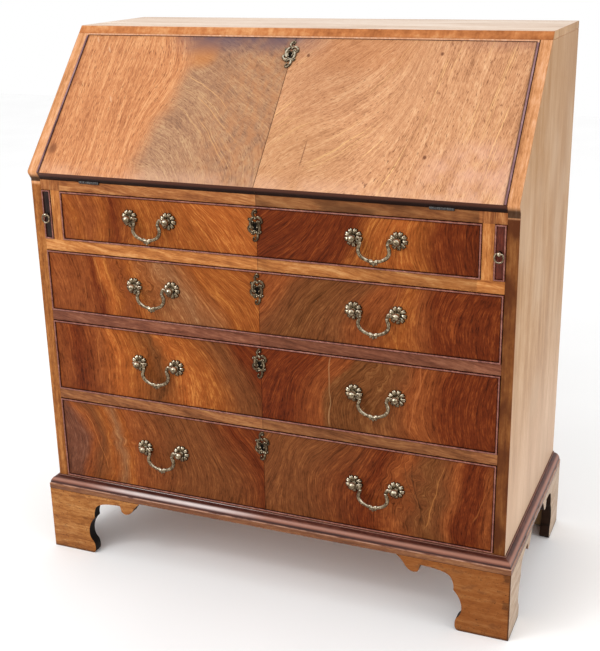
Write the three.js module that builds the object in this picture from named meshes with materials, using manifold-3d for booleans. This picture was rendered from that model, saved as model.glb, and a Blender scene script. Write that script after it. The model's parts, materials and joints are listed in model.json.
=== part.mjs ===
// A fall-front writing bureau in mahogany: a carcass on bracket feet, four long drawers,
// a sloping fall on two hinges, two lopers that slide out to hold it, and fitted pigeonholes.
// Millimetres, +Z up, the front faces -Y. The origin is on the floor under the middle of the outline.

import * as THREE from "three";
import { mergeVertices } from "three/addons/utils/BufferGeometryUtils.js";
import Module from "manifold-3d";

const wasm = await Module();
wasm.setup();

// Sizes of the carcass
const carcassWidth = 930;
const carcassDepth = 458;
const sideThickness = 21;
const bottomThickness = 20;
const topThickness = 14;
const topDepth = 245;
const deskHeight = 265;
const backThickness = 9;
const backRebate = 10;
const noseRadius = 5;

// Sizes of the plinth moulding and the bracket feet
const footHeight = 134;
const bracketThickness = 20;
const frontBracketLength = 212;
const sideBracketLength = 185;
const backBracketLength = 150;
const backBracketFoot = 88;
const glueBlockWidth = 26;
const glueBlockLift = 6;
const mouldingHeight = 28;
const mouldingProud = 16;
const fasciaHeight = 11.5;
const fasciaStep = 1.5;
const filletHeight = 3;
const filletProud = 2.5;
const bottomRise = 1.5;

// Sizes of the drawer openings, from the top one down, and of the rails between them
const openingHeight1 = 95;
const openingHeight2 = 122;
const openingHeight3 = 146;
const openingHeight4 = 172;
const upperRailHeight = 22;
const lowerRailHeight = 20;
const railDepth = 70;
const runnerWidth = 44;
const dustBoardThickness = 8;
const stileWidth = 20;

// Sizes of the drawers
const drawerFrontThickness = 20;
const drawerSideGap = 0.8;
const drawerTopGap = 1;
const drawerBackGap = 24;
const trayThickness = 9;
const trayInset = 1;
const traySideDrop1 = 6;
const traySideDrop2 = 10;
const traySideDrop3 = 6;
const traySideDrop4 = 6;
const trayBackDrop = 16;
const trayBottomLift = 6;
const trayBottomThickness = 7;
const beadWidth = 3;
const beadProud = 2.5;

// Sizes of the lopers and their drop rings
const loperWidth = 19;
const loperSideGap = 0.5;
const loperBackGap = 49;
const knobNeckRadius = 2.2;
const knobRadius = 4;
const knobReach = 8;
const knobBoreRadius = 1.4;
const ringWireRadius = 1.2;
const ringPinRadius = 0.9;
const ringPinLength = 2.4;
const ringHalfWidth = 7.4;
const ringDrop = 15;

// Sizes of the fall and its hinges
const fallThickness = 17;
const fallBevel = 4.5;
const fallGap = 0.5;
const fallBeadWidth = 4;
const hingeAxisGap = 0.5;
const stopLip = 10;
const stopDepth = 16;
const hingeInset = 107.5;
const hingeWidth = 42;
const hingeMiddle = 16;
const hingeLeafLength = 26;
const hingeLeafThickness = 1.6;
const knuckleRadius = 3;
const knuckleClearance = 0.5;
const pinRadius = 1.4;
const pinClearance = 0.4;

// Sizes of the locks and their scutcheons
const scutcheonWidth = 31;
const scutcheonHeight = 63;
const scutcheonThickness = 2;
const fallScutcheonGap = 4.8;
const keyholeRadius = 2.6;
const keyholeSlotWidth = 2.6;
const keyholeSlotDrop = 8;
const keyholeDepth = 7;
const keyTubeWidth = 9;
const keyTubeHeight = 17;
const lockCaseWidth = 64;
const lockCaseAbove = 22;
const lockCaseBelow = 16;
const lockCaseDepth = 9;

// Sizes of the drawer pulls
const leftPullInset = 230;
const rightPullInset = 221;
const pullRise = 6;
const postSpacing = 80;
const roseRadius = 17;
const roseThickness = 2.5;
const postNeckRadius = 4;
const postShankRadius = 3;
const ballRadius = 7;
const ballReach = 12.5;
const nutRadius = 6;
const nutThickness = 3;
const bailRadius = 2.6;
const bailDrop = 40;
const bailPinRadius = 1.6;
const bailPinDepth = 4;
const bailBoreClearance = 0.4;

// Sizes of the fitted interior
const gallerySetback = 36;
const galleryBoard = 6;
const galleryTopGap = 2;
const smallDrawerHeight = 60;
const smallDrawerGap = 0.6;
const smallDrawerBackGap = 12;
const smallDrawerWall = 6;
const smallDrawerFront = 10;
const smallDrawerFloor = 4;
const smallDrawerWallDrop = 8;
const smallKnobRadius = 6;
const smallKnobNeckRadius = 3;
const smallKnobReach = 12;
const nicheWidth = 230;
const valanceDrop = 26;
const valanceThickness = 5;

// Seats: the gap left where one piece is let into another, and how far a cut overruns a face
const seatGap = 0.3;
const overrun = 4;

// Counts of copies, of sides on round pieces and of steps on curves
const smallDrawerCount = 3;
const pigeonholesPerSide = 3;
const roseRayCount = 9;
const roundSides = 8;
const wireSides = 6;
const bailSteps = 16;
const ringSteps = 12;
const curveSteps = 3;
const ovoloSteps = 4;

// Outlines, as shares of the length and height of the piece that they shape
const bracketFootShare = 0.43;
// Each row bends towards its first point and ends on its second, from the toe up to the end of the wing
const bracketCurveShares = [
  [0.468, 0, 0.468, 0.09],
  [0.47, 0.19, 0.436, 0.228],
  [0.402, 0.31, 0.418, 0.42],
  [0.432, 0.53, 0.488, 0.62],
  [0.484, 0.7, 0.5, 0.76],
  [0.512, 0.83, 0.56, 0.857],
  [0.64, 0.905, 0.781, 0.905],
  [0.79, 0.868, 0.794, 0.83],
  [0.804, 0.78, 0.842, 0.78],
  [0.89, 0.785, 0.918, 0.855],
  [0.948, 0.94, 1, 1],
];
// Across from the middle and up from the foot of the plate, clockwise from its top tip
const scutcheonShares = [
  [0.04, 1],
  [0.14, 0.93],
  [0.1, 0.84],
  [0.26, 0.76],
  [0.3, 0.66],
  [0.5, 0.62],
  [0.44, 0.53],
  [0.3, 0.5],
  [0.34, 0.38],
  [0.22, 0.3],
  [0.2, 0.16],
  [0.06, 0.06],
  [-0.02, 0],
  [-0.14, 0.1],
  [-0.1, 0.22],
  [-0.24, 0.28],
  [-0.28, 0.4],
  [-0.5, 0.44],
  [-0.42, 0.54],
  [-0.28, 0.6],
  [-0.26, 0.72],
  [-0.14, 0.8],
  [-0.1, 0.92],
];
const keyholeHeightShare = 0.52;
const roseValleyShare = 0.66;
// Out from the middle as a share of half the room between the balls, and down as a share of the drop
const bailPathShares = [
  [0.97, 0],
  [0.93, 0],
  [0.86, 0.09],
  [0.76, 0.06],
  [0.74, -0.14],
  [0.84, -0.36],
  [0.75, -0.62],
  [0.44, -0.84],
  [0, -0.93],
];
const ringPathShares = [
  [0.66, 0],
  [1, -0.3],
  [0.86, -0.72],
  [0.45, -0.9],
  [0, -0.92],
];
const valanceArchShare = 0.3;

// Places that follow from the sizes
const pullReach = ballReach + ballRadius;
const backY = (carcassDepth + pullReach) / 2;
const frontY = backY - carcassDepth;
const innerBackY = backY - backThickness;
const outerHalf = carcassWidth / 2;
const innerHalf = outerHalf - sideThickness;
const loperSlotWidth = loperWidth + 2 * loperSideGap;
const upperOpeningHalf = innerHalf - loperSlotWidth - stileWidth;
const bottomTop = footHeight + mouldingHeight + bottomRise;
const openingHeights = [openingHeight1, openingHeight2, openingHeight3, openingHeight4];
const traySideDrops = [traySideDrop1, traySideDrop2, traySideDrop3, traySideDrop4];
const railHeights = [upperRailHeight, lowerRailHeight, lowerRailHeight];
const openingFloors = openingHeights.map((_, i) =>
  openingHeights.slice(i + 1).reduce((sum, h) => sum + h, bottomTop) +
  railHeights.slice(i).reduce((sum, h) => sum + h, 0));
const scutcheonRise = scutcheonHeight * (1 - keyholeHeightShare);
const keyDrop = scutcheonRise + beadWidth + seatGap;
const leftPullCentre = innerHalf - leftPullInset;
const rightPullCentre = innerHalf - rightPullInset;
const drawerLength = innerBackY - frontY - drawerBackGap;
const loperLength = innerBackY - frontY - loperBackGap;
const writingThickness = fallThickness + beadProud;
const writingFloor = openingFloors[0] + openingHeight1;
const writingTop = writingFloor + writingThickness;
const overallTop = writingTop + deskHeight;
const topFloor = overallTop - topThickness;

// The slope: its hinge axis, its angle from level, and the length of its outer face
const hingeY = frontY - hingeAxisGap;
const slopeRunY = backY - topDepth - hingeY;
const slopeAngle =
  Math.acos(fallThickness / Math.hypot(slopeRunY, deskHeight)) - Math.atan2(slopeRunY, deskHeight);
const slopeLength = slopeRunY * Math.cos(slopeAngle) + deskHeight * Math.sin(slopeAngle);
const topStripStart = slopeLength - topThickness / Math.sin(slopeAngle);
const fallLength = topStripStart - fallGap;
const fallHalf = innerHalf - fallGap;
const fallKeyDrop = scutcheonRise + fallBeadWidth + fallScutcheonGap;
const hingeCentre = fallHalf - hingeInset;

// A place [y, z], up the slope from the hinge axis and out from the fall's inner face
function onSlope(up, out) {
  return [
    hingeY + up * Math.cos(slopeAngle) - out * Math.sin(slopeAngle),
    writingTop + up * Math.sin(slopeAngle) + out * Math.cos(slopeAngle),
  ];
}

// Outlines and plain solids

// A closed shape from corners [a, b], or [a, b, radius] where a corner is rounded
function outline(corners) {
  const places = corners.map(([a, b]) => new THREE.Vector2(a, b));
  const shape = new THREE.Shape();
  corners.forEach(([, , radius = 0], i) => {
    const here = places[i];
    const before = places[(i + places.length - 1) % places.length];
    const after = places[(i + 1) % places.length];
    const enter = before.clone().sub(here).setLength(radius).add(here);
    const leave = after.clone().sub(here).setLength(radius).add(here);
    if (i === 0) shape.moveTo(enter.x, enter.y);
    else shape.lineTo(enter.x, enter.y);
    if (radius) shape.quadraticCurveTo(here.x, here.y, leave.x, leave.y);
  });
  shape.closePath();
  return shape;
}

function rectangle(a0, a1, b0, b1) {
  return outline([[a0, b0], [a1, b0], [a1, b1], [a0, b1]]);
}

function extrude(shape, depth) {
  return new THREE.ExtrudeGeometry(shape, { depth, bevelEnabled: false, curveSegments: curveSteps });
}

const axisX = new THREE.Vector3(1, 0, 0);
const axisY = new THREE.Vector3(0, 1, 0);
const axisZ = new THREE.Vector3(0, 0, 1);

// An outline in Y and Z, extruded along X
function alongX(shape, from, to) {
  const turn = new THREE.Matrix4().makeBasis(axisY, axisZ, axisX);
  return extrude(shape, to - from).applyMatrix4(turn).translate(from, 0, 0);
}

// An outline in X and Z, extruded along Y
function alongY(shape, from, to) {
  const turn = new THREE.Matrix4().makeBasis(axisX, axisZ, axisY.clone().negate());
  return extrude(shape, to - from).applyMatrix4(turn).translate(0, to, 0);
}

// An outline in X and Y, extruded along Z
function alongZ(shape, from, to) {
  return extrude(shape, to - from).translate(0, 0, from);
}

function block(x0, x1, y0, y1, z0, z1) {
  return new THREE.BoxGeometry(x1 - x0, y1 - y0, z1 - z0)
    .translate((x0 + x1) / 2, (y0 + y1) / 2, (z0 + z1) / 2);
}

// A round bar along X
function bar(radius, from, to, sides = roundSides) {
  return new THREE.CylinderGeometry(radius, radius, to - from, sides)
    .rotateZ(Math.PI / 2)
    .translate((from + to) / 2, 0, 0);
}

// A round bar along Z
function upright(radius, from, to, sides = roundSides) {
  return new THREE.CylinderGeometry(radius, radius, to - from, sides)
    .rotateX(Math.PI / 2)
    .translate(0, 0, (from + to) / 2);
}

// A turned piece about Z, from a profile of [radius, z] that starts and ends on the axis
function turned(profile) {
  const points = profile.map(([radius, z]) => new THREE.Vector2(radius, z));
  return new THREE.LatheGeometry(points, roundSides).rotateX(Math.PI / 2);
}

// Points [radius, z] of a ball about Z, from where its neck meets it to its front pole
function ballProfile(radius, centre, neckRadius) {
  const start = Math.asin(neckRadius / radius);
  return Array.from({ length: curveSteps + 2 }, (_, i) => {
    const angle = start + ((Math.PI - start) * i) / (curveSteps + 1);
    const onAxis = i === curveSteps + 1;
    return [onAxis ? 0 : radius * Math.sin(angle), centre - radius * Math.cos(angle)];
  });
}

// A round wire along a smooth path that mirrors itself about X = 0
function wire(half, radius, steps) {
  const points = [...half, ...half.slice(0, -1).reverse().map(([x, y]) => [-x, y])];
  const path = new THREE.CatmullRomCurve3(points.map(([x, y]) => new THREE.Vector3(x, y, 0)));
  const turn = (2 * Math.PI) / wireSides;
  const section = outline(Array.from({ length: wireSides }, (_, i) =>
    [radius * Math.cos(turn * i), radius * Math.sin(turn * i)]));
  return new THREE.ExtrudeGeometry(section, { steps, extrudePath: path, curveSegments: curveSteps });
}

// Joining and cutting

function solid(shape) {
  if (!shape.isBufferGeometry) return shape;
  const bare = shape.clone();
  bare.deleteAttribute("normal");
  bare.deleteAttribute("uv");
  const merged = mergeVertices(bare);
  return new wasm.Manifold(new wasm.Mesh({
    numProp: 3,
    vertProperties: new Float32Array(merged.attributes.position.array),
    triVerts: new Uint32Array(merged.index.array),
  }));
}

function join(...shapes) {
  return shapes.map(solid).reduce((sum, next) => sum.add(next));
}

function cut(base, ...tools) {
  return tools.map(solid).reduce((rest, tool) => rest.subtract(tool), solid(base));
}

function geometryOf(shape) {
  const { vertProperties, triVerts } = solid(shape).getMesh();
  const geometry = new THREE.BufferGeometry();
  geometry.setAttribute("position", new THREE.BufferAttribute(new Float32Array(vertProperties), 3));
  geometry.setIndex(new THREE.BufferAttribute(new Uint32Array(triVerts), 1));
  geometry.computeVertexNormals();
  return geometry;
}

// Finishes: colour, roughness and metalness
const finishes = {
  sideWood: [0xb98a63, 0.55, 0],
  topWood: [0xd2b08c, 0.6, 0],
  fallWood: [0xb86d3a, 0.35, 0],
  railWood: [0xa9612f, 0.4, 0],
  drawerWood: [0x7d3b1e, 0.32, 0],
  plinthWood: [0x5a2a1e, 0.28, 0],
  footWood: [0xa5602c, 0.45, 0],
  backWood: [0x9a7a55, 0.85, 0],
  interiorWood: [0x9c5c33, 0.45, 0],
  brass: [0x8f8468, 0.38, 1],
};

function place(parent, name, finish, shape, x = 0, y = 0, z = 0) {
  const [color, roughness, metalness] = finishes[finish];
  const material = new THREE.MeshStandardMaterial({ color, roughness, metalness, flatShading: true });
  const mesh = new THREE.Mesh(geometryOf(shape), material);
  mesh.name = name;
  mesh.position.set(x, y, z);
  parent.add(mesh);
  return mesh;
}

function group(parent, x = 0, y = 0, z = 0) {
  const made = new THREE.Group();
  made.position.set(x, y, z);
  parent.add(made);
  return made;
}

// A group on an upright front: its X runs right, its Y up and its Z out towards the user
function frontGroup(parent, x, y, z) {
  const made = group(parent, x, y, z);
  made.rotation.x = Math.PI / 2;
  return made;
}

// Carcass

function sidePanel() {
  const shape = outline([
    [backY, footHeight],
    [backY, topFloor],
    onSlope(topStripStart, fallThickness),
    [...onSlope(fallBevel, fallThickness), noseRadius],
    [frontY, writingTop],
    [frontY, footHeight],
  ]);
  const rebate = block(
    innerHalf - overrun, innerHalf + backRebate,
    innerBackY, backY + overrun,
    footHeight - overrun, topFloor + overrun);
  return cut(alongX(shape, innerHalf, outerHalf), rebate);
}

function topBoard() {
  const board = outline([
    [backY - topDepth, overallTop],
    onSlope(topStripStart, fallThickness),
    [backY, topFloor],
    [backY, overallTop],
  ]);
  const [lipY, lipZ] = onSlope(topStripStart - stopLip, -seatGap);
  const stop = outline([
    [backY - topDepth, overallTop],
    onSlope(topStripStart, fallThickness),
    onSlope(topStripStart, -seatGap),
    [lipY, lipZ],
    [lipY + stopDepth, lipZ],
    [lipY + stopDepth, overallTop],
  ]);
  const stopHalf = innerHalf - seatGap;
  return join(alongX(board, -outerHalf, outerHalf), alongX(stop, -stopHalf, stopHalf));
}

function backPanel() {
  const half = innerHalf + backRebate - seatGap;
  return block(-half, half, innerBackY, backY, footHeight, topFloor);
}

function bottomBoard() {
  return block(-innerHalf, innerHalf, frontY, innerBackY, bottomTop - bottomThickness, bottomTop);
}

// The writing board, with a notch for each hinge's knuckles and a recess for its fixed leaf
function writingBoard() {
  const board = block(-innerHalf, innerHalf, frontY, innerBackY, writingFloor, writingTop);
  const half = hingeWidth / 2 + seatGap;
  const seats = [-hingeCentre, hingeCentre].map((x) => join(
    bar(knuckleRadius + knuckleClearance, -half, half),
    block(-half, half, -overrun, hingeLeafLength + seatGap, -hingeLeafThickness - seatGap, overrun),
  ).translate([x, hingeY, writingTop]));
  return cut(board, ...seats);
}

// A rail with a runner at each end and a thin dust board between them, its underside at z = 0
function dustRail(height) {
  const floor = (height - dustBoardThickness) / 2;
  return join(
    block(-innerHalf, innerHalf, frontY, frontY + railDepth, 0, height),
    block(-innerHalf, runnerWidth - innerHalf, frontY, innerBackY, 0, height),
    block(innerHalf - runnerWidth, innerHalf, frontY, innerBackY, 0, height),
    block(-innerHalf, innerHalf, frontY, innerBackY, floor, floor + dustBoardThickness));
}

// The upper rail carries the stiles, which run back as partitions between the lopers and the drawer
function loperFrame() {
  const top = upperRailHeight + openingHeight1;
  const stiles = [-1, 1].map((hand) => block(
    Math.min(hand * upperOpeningHalf, hand * (upperOpeningHalf + stileWidth)),
    Math.max(hand * upperOpeningHalf, hand * (upperOpeningHalf + stileWidth)),
    frontY, innerBackY, 0, top));
  return join(dustRail(upperRailHeight), ...stiles);
}

// Plinth moulding: one mitred frame round the front and sides

function mouldingProfile() {
  const ovoloProud = mouldingProud - fasciaStep - filletProud;
  const ovoloHeight = mouldingHeight - fasciaHeight - filletHeight;
  const ovolo = Array.from({ length: ovoloSteps + 1 }, (_, i) => {
    const angle = (Math.PI / 2) * (i / ovoloSteps);
    return [filletProud + ovoloProud * Math.cos(angle), fasciaHeight + ovoloHeight * Math.sin(angle)];
  });
  return [
    [0, 0],
    [mouldingProud, 0],
    [mouldingProud, fasciaHeight],
    ...ovolo,
    [filletProud, mouldingHeight],
    [0, mouldingHeight],
  ];
}

function plinthMoulding() {
  const profile = mouldingProfile();
  const stations = [
    (out) => [-outerHalf - out, backY],
    (out) => [-outerHalf - out, frontY - out],
    (out) => [outerHalf + out, frontY - out],
    (out) => [outerHalf + out, backY],
  ];
  const vertices = stations.flatMap((at) => profile.flatMap(([out, up]) => [...at(out), up]));
  const count = profile.length;
  const faces = [];
  for (let s = 0; s + 1 < stations.length; s++) {
    for (let i = 0; i < count; i++) {
      const here = s * count + i;
      const above = s * count + ((i + 1) % count);
      faces.push(here, here + count, above, above, here + count, above + count);
    }
  }
  const last = (stations.length - 1) * count;
  const ends = THREE.ShapeUtils.triangulateShape(profile.map(([a, b]) => new THREE.Vector2(a, b)), []);
  ends.forEach(([a, b, c]) => faces.push(a, b, c, last + a, last + c, last + b));
  const geometry = new THREE.BufferGeometry();
  geometry.setAttribute("position", new THREE.Float32BufferAttribute(vertices, 3));
  geometry.setIndex(faces);
  return geometry;
}

// Bracket feet, from their outer corner: X runs in along the front, Y back along the side

function bracketShape(length) {
  const shape = new THREE.Shape();
  shape.moveTo(0, 0);
  shape.lineTo(length * bracketFootShare, 0);
  bracketCurveShares.forEach(([bendAlong, bendUp, endAlong, endUp]) => shape.quadraticCurveTo(
    length * bendAlong, footHeight * bendUp, length * endAlong, footHeight * endUp));
  shape.lineTo(0, footHeight);
  shape.closePath();
  return shape;
}

function glueBlock() {
  const end = bracketThickness + glueBlockWidth;
  return block(
    bracketThickness - seatGap, end, bracketThickness - seatGap, end, glueBlockLift, footHeight);
}

function frontFoot() {
  return join(
    alongY(bracketShape(frontBracketLength), 0, bracketThickness),
    alongX(bracketShape(sideBracketLength), 0, bracketThickness),
    glueBlock());
}

// The back bracket is a plain board that rakes in from its top to its foot
function backFoot() {
  const rake = outline([
    [0, 0],
    [backBracketFoot, 0],
    [backBracketLength, footHeight],
    [0, footHeight],
  ]);
  return join(
    alongY(rake, 0, bracketThickness),
    alongX(bracketShape(sideBracketLength), 0, bracketThickness),
    glueBlock());
}

// Pulls: a sunburst rose, a ball on a post that runs through the drawer front, and a swan-neck bail

function roseShape() {
  const step = Math.PI / roseRayCount;
  return outline(Array.from({ length: 2 * roseRayCount }, (_, i) => {
    const radius = i % 2 ? roseRadius * roseValleyShare : roseRadius;
    return [radius * Math.sin(step * i), radius * Math.cos(step * i)];
  }));
}

// The bore for the bail's pin is on the +X side of the ball
function pullPost() {
  const inside = -drawerFrontThickness;
  const post = turned([
    [0, inside - seatGap - nutThickness],
    [nutRadius, inside - seatGap - nutThickness],
    [nutRadius, inside - seatGap],
    [postShankRadius, inside - seatGap],
    [postShankRadius, seatGap],
    [postNeckRadius, seatGap + roseThickness],
    ...ballProfile(ballRadius, ballReach, postNeckRadius),
  ]);
  const boreEnd = ballRadius - bailPinDepth - bailBoreClearance;
  const bore = bar(bailPinRadius + bailBoreClearance, boreEnd, ballRadius + overrun)
    .translate(0, 0, ballReach);
  return cut(join(post, alongZ(roseShape(), seatGap, seatGap + roseThickness)), bore);
}

function bail() {
  const half = postSpacing / 2 - ballRadius;
  const path = bailPathShares.map(([out, up]) => [out * half, up * bailDrop]);
  const pinOut = half + bailPinDepth;
  const pinIn = path[0][0] - overrun;
  return join(
    wire(path, bailRadius, bailSteps),
    bar(bailPinRadius, pinIn, pinOut, wireSides),
    bar(bailPinRadius, -pinOut, -pinIn, wireSides));
}

// Locks: a scutcheon on the face, a key tube through the board and a case let into its inner face

function keyhole(depth) {
  return join(
    upright(keyholeRadius, -depth, scutcheonThickness + overrun),
    block(
      -keyholeSlotWidth / 2, keyholeSlotWidth / 2, -keyholeSlotDrop, 0,
      -depth, scutcheonThickness + overrun));
}

function lock(boardThickness) {
  const plate = outline(scutcheonShares.map(([across, up]) =>
    [across * scutcheonWidth, (up - keyholeHeightShare) * scutcheonHeight]));
  const back = -boardThickness;
  const inner = back + lockCaseDepth;
  const body = join(
    alongZ(plate, seatGap, seatGap + scutcheonThickness),
    block(
      -keyTubeWidth / 2, keyTubeWidth / 2, -keyTubeHeight / 2, keyTubeHeight / 2,
      back, seatGap + scutcheonThickness / 2),
    block(-lockCaseWidth / 2, lockCaseWidth / 2, -lockCaseBelow, lockCaseAbove, back, inner));
  return cut(body, keyhole(keyholeDepth));
}

// The room that a lock needs in its board
function lockRecess(boardThickness) {
  const half = lockCaseWidth / 2 + seatGap;
  const tubeHalfWidth = keyTubeWidth / 2 + seatGap;
  const tubeHalfHeight = keyTubeHeight / 2 + seatGap;
  return join(
    block(
      -half, half, -lockCaseBelow - seatGap, lockCaseAbove + seatGap,
      -boardThickness - overrun, lockCaseDepth - boardThickness + seatGap),
    block(
      -tubeHalfWidth, tubeHalfWidth, -tubeHalfHeight, tubeHalfHeight,
      -boardThickness - overrun, overrun));
}

// Drawers, from the middle of the opening's front edge on the rail that carries them

function drawerPlaces(half, height) {
  const frontHalf = half - drawerSideGap;
  const top = height - drawerTopGap;
  const pullZ = height / 2 + pullRise;
  const postXs = [-leftPullCentre, rightPullCentre]
    .flatMap((x) => [x - postSpacing / 2, x + postSpacing / 2]);
  return { frontHalf, top, pullZ, postXs, keyZ: top - keyDrop };
}

function drawer(half, height, sideDrop) {
  const { frontHalf, top, pullZ, postXs, keyZ } = drawerPlaces(half, height);
  const trayHalf = frontHalf - trayInset;
  const innerHalfWidth = trayHalf - trayThickness;
  const front = block(-frontHalf, frontHalf, 0, drawerFrontThickness, seatGap, top);
  const beadOutline = rectangle(-frontHalf, frontHalf, seatGap, top);
  beadOutline.holes.push(rectangle(
    beadWidth - frontHalf, frontHalf - beadWidth, seatGap + beadWidth, top - beadWidth));
  const bead = alongY(beadOutline, -beadProud, beadWidth);
  const tray = block(
    -trayHalf, trayHalf, drawerFrontThickness - seatGap, drawerLength, seatGap, height - sideDrop);
  const bottom = seatGap + trayBottomLift + trayBottomThickness;
  const room = block(
    -innerHalfWidth, innerHalfWidth,
    drawerFrontThickness, drawerLength - trayThickness,
    bottom, height);
  const under = block(
    -innerHalfWidth, innerHalfWidth,
    drawerFrontThickness, drawerLength + overrun,
    seatGap - overrun, seatGap + trayBottomLift);
  const backCut = block(
    -innerHalfWidth, innerHalfWidth,
    drawerLength - trayThickness - overrun, drawerLength + overrun,
    height - trayBackDrop, height);
  const turnOut = (shape) => solid(shape).rotate([90, 0, 0]);
  const shankHole = upright(postShankRadius + seatGap, -drawerFrontThickness - overrun, overrun);
  const holes = postXs.map((x) => turnOut(shankHole).translate([x, 0, pullZ]));
  const recess = turnOut(lockRecess(drawerFrontThickness)).translate([0, 0, keyZ]);
  return cut(join(front, bead, tray), room, under, backCut, recess, ...holes);
}

function addDrawer(parent, number, half, floor, height, sideDrop) {
  const { pullZ, postXs, keyZ } = drawerPlaces(half, height);
  const name = "drawer_" + number;
  const made = group(parent, 0, frontY, floor);
  place(made, name, "drawerWood", drawer(half, height, sideDrop));
  place(frontGroup(made, 0, 0, keyZ), name + "_lock", "brass", lock(drawerFrontThickness));
  const pulls = frontGroup(made, 0, 0, pullZ);
  postXs.forEach((x, i) => {
    const post = place(pulls, name + "_post_" + (i + 1), "brass", pullPost(), x);
    post.scale.x = i % 2 ? -1 : 1;
  });
  place(pulls, name + "_bail_left", "brass", bail(), -leftPullCentre, 0, ballReach);
  place(pulls, name + "_bail_right", "brass", bail(), rightPullCentre, 0, ballReach);
}

// Lopers: a beaded end, a knob with a bore across it, and a drop ring whose ends turn in the bore

function loper() {
  const half = loperWidth / 2;
  const top = openingHeight1 - seatGap;
  const beadOutline = rectangle(-half, half, seatGap, top);
  beadOutline.holes.push(rectangle(beadWidth - half, half - beadWidth, seatGap + beadWidth, top - beadWidth));
  const knob = turned([
    [0, -overrun],
    [knobNeckRadius, -overrun],
    ...ballProfile(knobRadius, knobReach, knobNeckRadius),
  ]);
  const bore = bar(knobBoreRadius, -knobRadius - overrun, knobRadius + overrun).translate(0, 0, knobReach);
  const drilled = cut(knob, bore).rotate([90, 0, 0]).translate([0, 0, openingHeight1 / 2]);
  return join(
    block(-half, half, 0, loperLength, seatGap, top),
    alongY(beadOutline, -beadProud, beadWidth),
    drilled);
}

function loperRing() {
  const path = ringPathShares.map(([out, up]) => [out * ringHalfWidth, up * ringDrop]);
  const start = path[0][0];
  const pinIn = knobRadius - ringPinLength;
  return join(
    wire(path, ringWireRadius, ringSteps),
    bar(ringPinRadius, pinIn, start + ringWireRadius / 2, wireSides),
    bar(ringPinRadius, -start - ringWireRadius / 2, -pinIn, wireSides));
}

function addLoper(parent, hand, label) {
  const centre = hand * (innerHalf - loperSlotWidth / 2);
  const made = group(parent, centre, frontY, openingFloors[0]);
  place(made, "loper_" + label, "drawerWood", loper());
  const onKnob = frontGroup(made, 0, 0, openingHeight1 / 2);
  place(onKnob, "loper_ring_" + label, "brass", loperRing(), 0, 0, knobReach);
}

// Hinges: the fixed leaf carries the outer knuckles and the pin, the moving leaf the middle knuckle

function fixedLeaf() {
  const half = hingeWidth / 2;
  const middle = hingeMiddle / 2 + seatGap;
  const room = knuckleRadius + knuckleClearance;
  const leaf = block(-half, half, 0, hingeLeafLength, -hingeLeafThickness, 0);
  const notch = block(-middle, middle, -room, room, -room, room);
  return join(
    cut(join(leaf, bar(knuckleRadius, -half, half)), notch),
    bar(pinRadius, -half, half));
}

function movingLeaf() {
  const half = hingeWidth / 2;
  const middle = hingeMiddle / 2;
  const room = knuckleRadius + knuckleClearance;
  const leaf = join(
    block(-half, half, room, hingeLeafLength, 0, hingeLeafThickness),
    block(-middle, middle, 0, room + seatGap, 0, hingeLeafThickness),
    bar(knuckleRadius, -middle, middle));
  return cut(leaf, bar(pinRadius + pinClearance, -half, half));
}

// The fall, in its own frame: X across, Y up the slope and Z out of its face

function fallBoard() {
  const section = outline([
    [0, 0],
    [fallLength, 0],
    [fallLength, fallThickness],
    [fallBevel, fallThickness],
  ]);
  const face = fallThickness + beadProud;
  const root = fallThickness - seatGap;
  const edge = fallHalf - fallBeadWidth;
  const half = hingeWidth / 2 + seatGap;
  const seats = [-hingeCentre, hingeCentre].map((x) => join(
    bar(knuckleRadius + knuckleClearance, -half, half),
    block(-half, half, 0, hingeLeafLength + seatGap, -overrun, hingeLeafThickness + seatGap),
  ).translate([x, 0, 0]));
  const recess = solid(lockRecess(fallThickness)).translate([0, fallLength - fallKeyDrop, fallThickness]);
  const board = join(
    alongX(section, -fallHalf, fallHalf),
    block(-fallHalf, -edge, fallBevel, fallLength, root, face),
    block(edge, fallHalf, fallBevel, fallLength, root, face),
    block(-fallHalf, fallHalf, fallLength - fallBeadWidth, fallLength, root, face));
  return cut(board, recess, ...seats);
}

// The fitted interior: a row of small drawers under pigeonholes that flank an open niche

const galleryFront = backY - topDepth + gallerySetback;
const smallDrawerLength = innerBackY - galleryFront - smallDrawerBackGap;
const galleryHalf = innerHalf - seatGap;
const galleryHeight = topFloor - writingTop - galleryTopGap;
const smallDrawerPitch = (2 * galleryHalf - galleryBoard) / smallDrawerCount;
const shelfFloor = galleryBoard + smallDrawerHeight;
const holePitch = (galleryHalf - nicheWidth / 2 - galleryBoard) / pigeonholesPerSide;

// The left faces of the upright boards above the shelf
function pigeonholeUprights() {
  const left = Array.from({ length: pigeonholesPerSide + 1 }, (_, i) => -galleryHalf + i * holePitch);
  return [...left, ...left.map((x) => -x - galleryBoard)];
}

// An arched valance between two uprights, hanging from the top board
function valance(from, to) {
  const rise = valanceDrop * valanceArchShare;
  const middle = (from + to) / 2;
  const shape = new THREE.Shape();
  shape.moveTo(from, 0);
  shape.lineTo(from, -valanceDrop);
  shape.quadraticCurveTo((from + middle) / 2, -rise, middle, -rise);
  shape.quadraticCurveTo((middle + to) / 2, -rise, to, -valanceDrop);
  shape.lineTo(to, 0);
  shape.closePath();
  return alongY(shape, galleryFront + smallDrawerGap, galleryFront + smallDrawerGap + valanceThickness)
    .translate(0, 0, galleryHeight - seatGap);
}

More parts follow.
